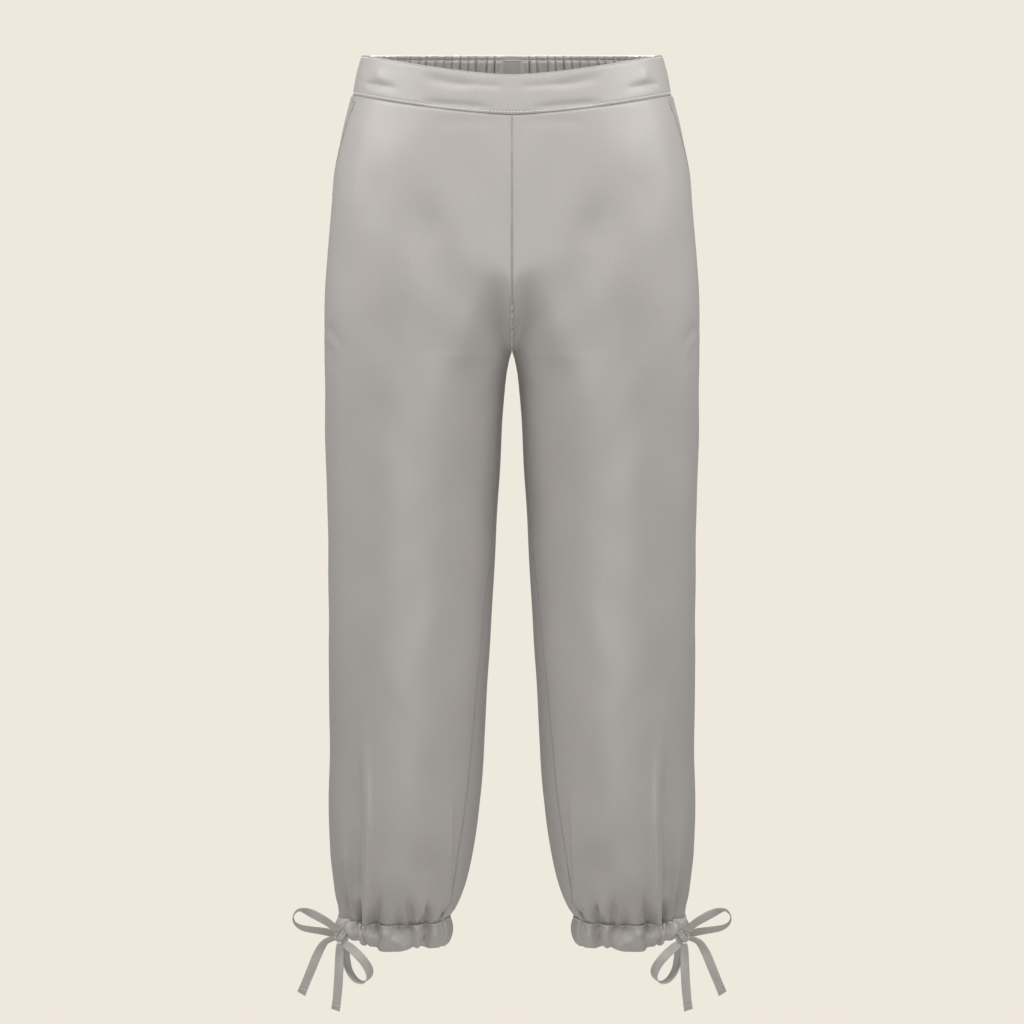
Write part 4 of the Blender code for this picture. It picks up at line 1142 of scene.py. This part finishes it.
def route_points(route, step):
    """Even points and turns along a route, on a curve through its rows."""
    rows = np.array([[row["x"], row["y"], row["z"], row["turn"]] for row in route], float)
    ends = np.vstack((2 * rows[0] - rows[1], rows, 2 * rows[-1] - rows[-2]))
    samples = []
    for index in range(1, len(ends) - 2):
        before, start, end, after = ends[index - 1:index + 3]
        for part in np.linspace(0.0, 1.0, 16, endpoint=False):
            linear = 0.5 * (end - before)
            square = 0.5 * (2 * before - 5 * start + 4 * end - after)
            cubic = 0.5 * (3 * start - before - 3 * end + after)
            samples.append(start + part * (linear + part * (square + part * cubic)))
    samples = np.array(samples + [ends[-2]])
    length = run_along(samples[:, :3], 0)
    even = np.linspace(0.0, length[-1], int(round(length[-1] / step)) + 1)
    return read_along(length, samples, even)


def tape_form(route, both_ends):
    """Centre line, directions and half width of a flat tape, which the knot draws in."""
    rows = route_points(route, TAPE_STEP)
    centre = rows[:, :3]
    length = run_along(centre, 0)
    from_knot = np.minimum(length, length[-1] - length) if both_ends else length
    out_of_knot = ease(from_knot / TAPE_PINCH_LENGTH)
    half_width = TAPE_WIDTH / 2.0 * (TAPE_PINCH + (1.0 - TAPE_PINCH) * out_of_knot)
    along = unit(np.gradient(centre, axis=0))
    depth = np.array([0.0, 1.0, 0.0])
    flat = unit(np.cross(depth, along))
    twist = TAPE_TWIST * np.sin(length / 8.5 + 0.6) * out_of_knot
    turn = np.radians(rows[:, 3] + twist)[:, None]
    wide = square_to(np.cos(turn) * flat + np.sin(turn) * depth, along)
    thick = np.cross(along, wide)
    if not both_ends:
        folded = np.clip(1.0 - (length[-1] - length) / TAPE_END_FOLD, 0.0, 1.0)
        centre[:, 1] += TAPE_END_BACK * folded
    return centre, along, wide, thick, half_width, length


# Outline of the tape across its width: place across, and height as a share of half the thickness.
TAPE_SECTION = [
    (-1, 0), (-0.97, -0.7), (-0.86, -1), (-0.45, -1), (0, -0.85), (0.45, -1), (0.86, -1), (0.97, -0.7),
    (1, 0), (0.97, 0.7), (0.86, 1), (0.45, 1), (0, 0.85), (-0.45, 1), (-0.86, 1), (-0.97, 0.7),
]


def make_tape(name, route, mirrored, both_ends, material):
    """A flat tape along a route; a free end is folded up and cut on a slant."""
    centre, along, wide, thick, half_width, length = tape_form(route, both_ends)
    to_end = length[-1] - length
    fold = np.zeros(len(length)) if both_ends else 1.0 - ease((to_end - TAPE_END_FOLD + 1.0) / 1.6)
    slant = (0.0 if both_ends else TAPE_END_SLANT) * ease(1.0 - to_end / 12.0)
    dip = TAPE_DIP * np.sin(length / 9.0 + 0.8) + 0.25 * np.sin(length / 23.0)
    points = []
    for across, through in TAPE_SECTION:
        level = through * (TAPE_THICKNESS / 2.0 + (fold * TAPE_END_RISE if through > 0.0 else 0.0))
        level = level + dip * (1.0 - across * across)
        place = centre + wide * (across * half_width)[:, None] + thick * level[:, None]
        points.append(place + along * (slant * across)[:, None])
    ring = len(TAPE_SECTION)
    faces = ring_faces(len(centre), ring)
    end = (len(centre) - 1) * ring
    for step in range(ring // 2):
        cap = (step, step + 1, ring - step - 1, (ring - step) % ring)
        faces.append(cap[::-1])
        faces.append([end + corner for corner in cap])
    faces = [tuple(dict.fromkeys(face)) for face in faces]
    width_run = np.array([across * TAPE_WIDTH / 2.0 for across, through in TAPE_SECTION])
    uv = np.stack((np.tile(width_run, len(centre)), np.repeat(length, ring)), axis=1)
    points = np.stack(points, axis=1).reshape(-1, 3)
    return make_object(name, points, faces, [material], mirrored, uv, sharp=60.0), centre


def make_knot(name, mirrored, material):
    """A squashed knot: the crossed tape in the middle and a band of it drawn tight around."""
    tilt = math.radians(KNOT_TILT)
    long_way = np.array([math.cos(tilt), 0.0, math.sin(tilt)]) * KNOT_RADII[0]
    deep_way = np.array([0.0, 1.0, 0.0]) * KNOT_RADII[1]
    short_way = np.array([-math.sin(tilt), 0.0, math.cos(tilt)]) * KNOT_RADII[2]
    rings = KNOT_RINGS
    sides = KNOT_SIDES
    points = []
    for ring in range(1, rings):
        polar = math.pi * ring / rings
        far = math.cos(polar)
        band = ease((0.40 - abs(far)) / 0.12)
        for side in range(sides):
            around = TURN * side / sides
            folds = 0.12 * math.sin(5.0 * around + 3.0 * far) * (1.0 - band)
            pressed = groove(far, (0.10, 0.05), 0.02) * band + groove(abs(far), (0.36, 0.07), 0.46)
            swell = math.sin(polar) ** 0.75 * (0.86 + 0.14 * band + folds - pressed)
            round_it = deep_way * math.cos(around) + short_way * math.sin(around)
            points.append(long_way * far + round_it * swell)
    poles = len(points)
    last = (rings - 2) * sides
    faces = []
    for side in range(sides):
        beside = (side + 1) % sides
        faces.append((poles, side, beside))
        faces.append((poles + 1, last + beside, last + side))
    faces += ring_faces(rings - 1, sides, turned=True)
    points = np.array(points + [long_way, -long_way]) + np.array(KNOT_CENTRE)
    uv = points[:, ::2] * (-1.0 if mirrored else 1.0, 1.0)
    return make_object(name, points, faces, [material], mirrored, uv, sharp=80.0)


def make_camera():
    data = bpy.data.cameras.new("camera")
    data.sensor_width = 36.0
    data.lens = CAMERA_LENS
    data.shift_y = CAMERA_SHIFT_Y
    data.dof.use_dof = False
    camera = add_object("camera", data)
    camera.location = CAMERA_PLACE
    camera.rotation_euler = (math.radians(90.0 - CAMERA_DOWN), 0.0, 0.0)
    bpy.context.scene.camera = camera


def place_piece(piece, node_name=None):
    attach(piece, "root")
    if node_name:
        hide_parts(node_name)


def make_ties(side, mirrored, cloth):
    """The bow on one ankle: a knot, and two loops and two tails made as flat tapes."""
    knot = make_knot("bow_" + side + "_knot", mirrored, cloth)
    place_piece(knot, "tie_" + side + "_knot")
    parts = (
        ("loop_upper", LOOP_UPPER, True), ("loop_lower", LOOP_LOWER, True),
        ("tail_outer", TAIL_OUTER, False), ("tail_inner", TAIL_INNER, False),
    )
    for part, route, both_ends in parts:
        tape, centre = make_tape("bow_" + side + "_" + part, route, mirrored, both_ends, cloth)
        place_piece(tape, "tie_" + side + "_" + part)


def tail_end_stitches(route):
    """A row of stitches across the folded end of a tail, on its front."""
    centre, _, wide, thick, half_width, length = tape_form(route, False)
    index = int(np.searchsorted(length, length[-1] - TAPE_END_FOLD + 1.8))
    face = thick[index] * np.sign(-thick[index, 1])
    level = TAPE_THICKNESS / 2.0 + TAPE_END_RISE + 0.1
    span = np.linspace(-0.85, 0.85, 9)[:, None] * wide[index] * half_width[index]
    line = centre[index] + span + face * level
    return line, np.repeat(face[None], len(line), axis=0), 2.0, 1.3, 0.36


def declare(piece, node_name):
    """Place a cloth piece and hide the imported part that it stands for."""
    place_piece(piece, node_name)


def column_line(form, column, first=0, last=None):
    """A line down a form just over its face, and its normals."""
    normal = form["normal"][first:last, column]
    return form["outer"][first:last, column] + normal * STITCH_LIFT, normal


def row_line(form, row, side="outer", lift=0.1):
    normal = form["normal"][row] * (-1.0 if side == "inner" else 1.0)
    return form[side][row] + normal * lift, normal


def with_normals(form, way, closed=False):
    form["normal"] = grid_normals(form["outer"], way, closed)
    return form


def nearest_row(form, z, column):
    return int(np.argmin(np.abs(form["outer"][:, column, 2] - z)))


def sewn(line_and_normal, radius=STITCH_RADIUS):
    return *line_and_normal, STITCH_PITCH, STITCH_LENGTH, radius


def bartack(form, row, column):
    """A short dense bar of stitches across a pocket end."""
    bars = []
    centre = form["outer"][row, column]
    normal = form["normal"][row, column]
    across = form["outer"][row, column - 6] - centre
    across /= np.linalg.norm(across)
    down = np.cross(across, normal)
    for step in np.linspace(-0.9, 0.9, 5):
        line = centre + down * step + across * np.linspace(-0.6, 6.4, 6)[:, None] + normal * 0.25
        bars.append((line, np.repeat(normal[None], 6, axis=0), 6.4, 6.0, 0.24))
    return bars


def panel_stitches(front, back):
    """Rows along the seams, the pocket mouth and its ends, on the left side."""
    crotch = nearest_row(front, CROTCH_Z, 0)
    side_start = nearest_row(front, SIDE_STITCH_START_Z, -1)
    mouth = [nearest_row(front, z, -1) for z in (MOUTH_STITCH_TOP_Z, MOUTH_STITCH_BOTTOM_Z)]
    line, normal = column_line(front, -4, *mouth)
    short_line, short_normal = column_line(back, -7, 4, nearest_row(back, TOP_BARTACK_Z, -7))
    return [
        sewn(column_line(front, 0, crotch, -3), SEAM_STITCH_RADIUS),
        sewn(column_line(front, -1, side_start, -3), SEAM_STITCH_RADIUS),
        sewn((line + normal * 0.02, normal)),
        *bartack(front, nearest_row(front, TOP_BARTACK_Z, -1), -2),
        *bartack(front, nearest_row(front, BOTTOM_BARTACK_Z, -1), -2),
        sewn((short_line + short_normal * 0.02, short_normal)),
    ]


def make_cloth(satin, satin_back, band_satin, thread, seam_thread):
    front = with_normals(panel_form(True), -1.0)
    back = with_normals(panel_form(False), 1.0)
    cuff = with_normals(cuff_form(), 1.0, closed=True)
    from_axis = cuff["outer"] - cuff["outer"].mean(axis=1, keepdims=True)
    cuff["normal"] = facing(cuff["normal"], from_axis)
    band_front = with_normals(band_form(True), 1.0)
    band_back = with_normals(band_form(False), -1.0)
    for form in (band_front, band_back):
        form["normal"] = facing(form["normal"], form["outer"] * (1, 1, 0))
    casing_row = [np.vstack((values, values[:1])) for values in row_line(cuff, 3, lift=0.08)]
    tails = [tail_end_stitches(TAIL_OUTER), tail_end_stitches(TAIL_INNER)]
    for side, mirrored in SIDES:
        for name, form in (("front", front), ("back", back)):
            panel = make_shell("satin_" + name + "_" + side, form, [satin, satin_back], mirrored)
            declare(panel, name + "_" + side)
        casing = make_shell("satin_casing_" + side, cuff, [satin, satin_back], mirrored, closed=True)
        declare(casing, "cuff_" + side)
        for name, rows, yarn, slot in (
            ("seam_stitches_", panel_stitches(front, back), seam_thread, "satin"),
            ("casing_stitches_", [sewn(casing_row)], thread, "satin"),
            ("tail_stitches_", tails, thread, "tape"),
        ):
            place_piece(make_stitches(name + side, rows, yarn, mirrored))
    piece = make_shell("satin_waistband_front", band_front, [band_satin, satin_back])
    declare(piece, "waistband_front")
    piece = make_shell("satin_waistband_back", band_back, [band_satin, band_satin])
    declare(piece, "waistband_back")
    rows = [
        sewn(row_line(band_front, 4)), sewn(row_line(band_front, -5)),
        sewn(row_line(band_back, 4)), sewn(row_line(band_back, -7)),
        sewn(row_line(band_back, -7, "inner")),
    ]
    place_piece(make_stitches("waist_stitches", rows, thread))
    rows = []
    for form in (front, back):
        line, normal = column_line(form, 0, 2, nearest_row(form, CENTRE_STITCH_END_Z, 0))
        rows.append(sewn((line * (0.0, 1.0, 1.0), normal), CENTRE_STITCH_RADIUS))
    place_piece(make_stitches("centre_stitches", rows, seam_thread))


def make_lamp(name, place, aim, size, power):
    data = bpy.data.lights.new(name, "AREA")
    data.shape = "RECTANGLE"
    data.size, data.size_y = size
    data.energy = power
    data.color = LIGHT_COLOR
    lamp = add_object(name, data)
    lamp.location = place
    away = unit(np.array(aim) - np.array(place))
    lamp.rotation_euler = (math.acos(-away[2]), 0.0, math.atan2(-away[0], away[1]))


def make_lights():
    """A pale backdrop that only the camera sees, soft light from all around, and the lamps."""
    world = bpy.data.worlds.new("studio")
    world.use_nodes = True
    tree = world.node_tree
    seen = feed(tree, tree.nodes["Background"], {"Color": (*BACKDROP_COLOR, 1.0)})
    soft = node(tree, "Background", {"Color": (*AMBIENT_COLOR, 1.0), "Strength": AMBIENT_STRENGTH})
    rays = node(tree, "LightPath")
    parts = {0: rays.outputs["Is Camera Ray"], 1: soft.outputs[0], 2: seen.outputs[0]}
    mix = node(tree, "MixShader", parts).outputs[0]
    feed(tree, tree.nodes["World Output"], {"Surface": mix})
    bpy.context.scene.world = world
    for lamp in LAMPS:
        make_lamp(**lamp)


def floor_material():
    material, tree, shader = new_material("pale_floor")
    place = node(tree, "TexCoord").outputs["Object"]
    flat = node(tree, "VectorMath", {0: place, 1: (1.0, 1.0, 0.0)}, operation="MULTIPLY")
    far = node(tree, "VectorMath", {0: flat.outputs["Vector"]}, operation="LENGTH").outputs["Value"]
    fade = {"Value": far, "From Min": 0.25, "From Max": 0.95, "To Min": 0.75, "To Max": 0.0}
    alpha = node(tree, "MapRange", fade, interpolation_type="SMOOTHSTEP").outputs["Result"]
    feed(tree, shader, {"Base Color": (*FLOOR_COLOR, 1.0), "Roughness": 0.9, "Alpha": alpha})
    return material


def make_floor():
    """A pale floor well below the garment, fading at its rim into the backdrop."""
    points = [(0.0, 0.0, FLOOR_Z)]
    for ring in range(1, FLOOR_RINGS + 1):
        radius = FLOOR_RADIUS * ring / FLOOR_RINGS
        for side in range(FLOOR_SIDES):
            turn = TURN * side / FLOOR_SIDES
            points.append((radius * math.cos(turn), radius * math.sin(turn), FLOOR_Z))
    faces = [(0, 1 + side, 1 + (side + 1) % FLOOR_SIDES) for side in range(FLOOR_SIDES)]
    faces += ring_faces(FLOOR_RINGS, FLOOR_SIDES, first=1, turned=True)
    make_object("floor", np.array(points), faces, [floor_material()])


def make_all():
    satin = cloth_material("satin_face", SATIN_COLOR, 0.40, 0.25, 0.25)
    satin_back = cloth_material("satin_reverse", SATIN_BACK_COLOR, 0.6, 0.35, 0.35)
    band_satin = cloth_material("satin_band_face", BAND_COLOR, 0.44, 0.25, 0.25)
    tape_satin = cloth_material("satin_tape", TAPE_COLOR, 0.36, 0.25, 0.25)
    thread = thread_material("sewing_thread", THREAD_COLOR)
    seam_thread = thread_material("seam_thread", SEAM_THREAD_COLOR)
    make_camera()
    for side, mirrored in SIDES:
        make_ties(side, mirrored, tape_satin)
    make_cloth(satin, satin_back, band_satin, thread, seam_thread)
    make_lights()
    make_floor()
    bpy.context.scene.view_settings.view_transform = "Standard"


make_all()
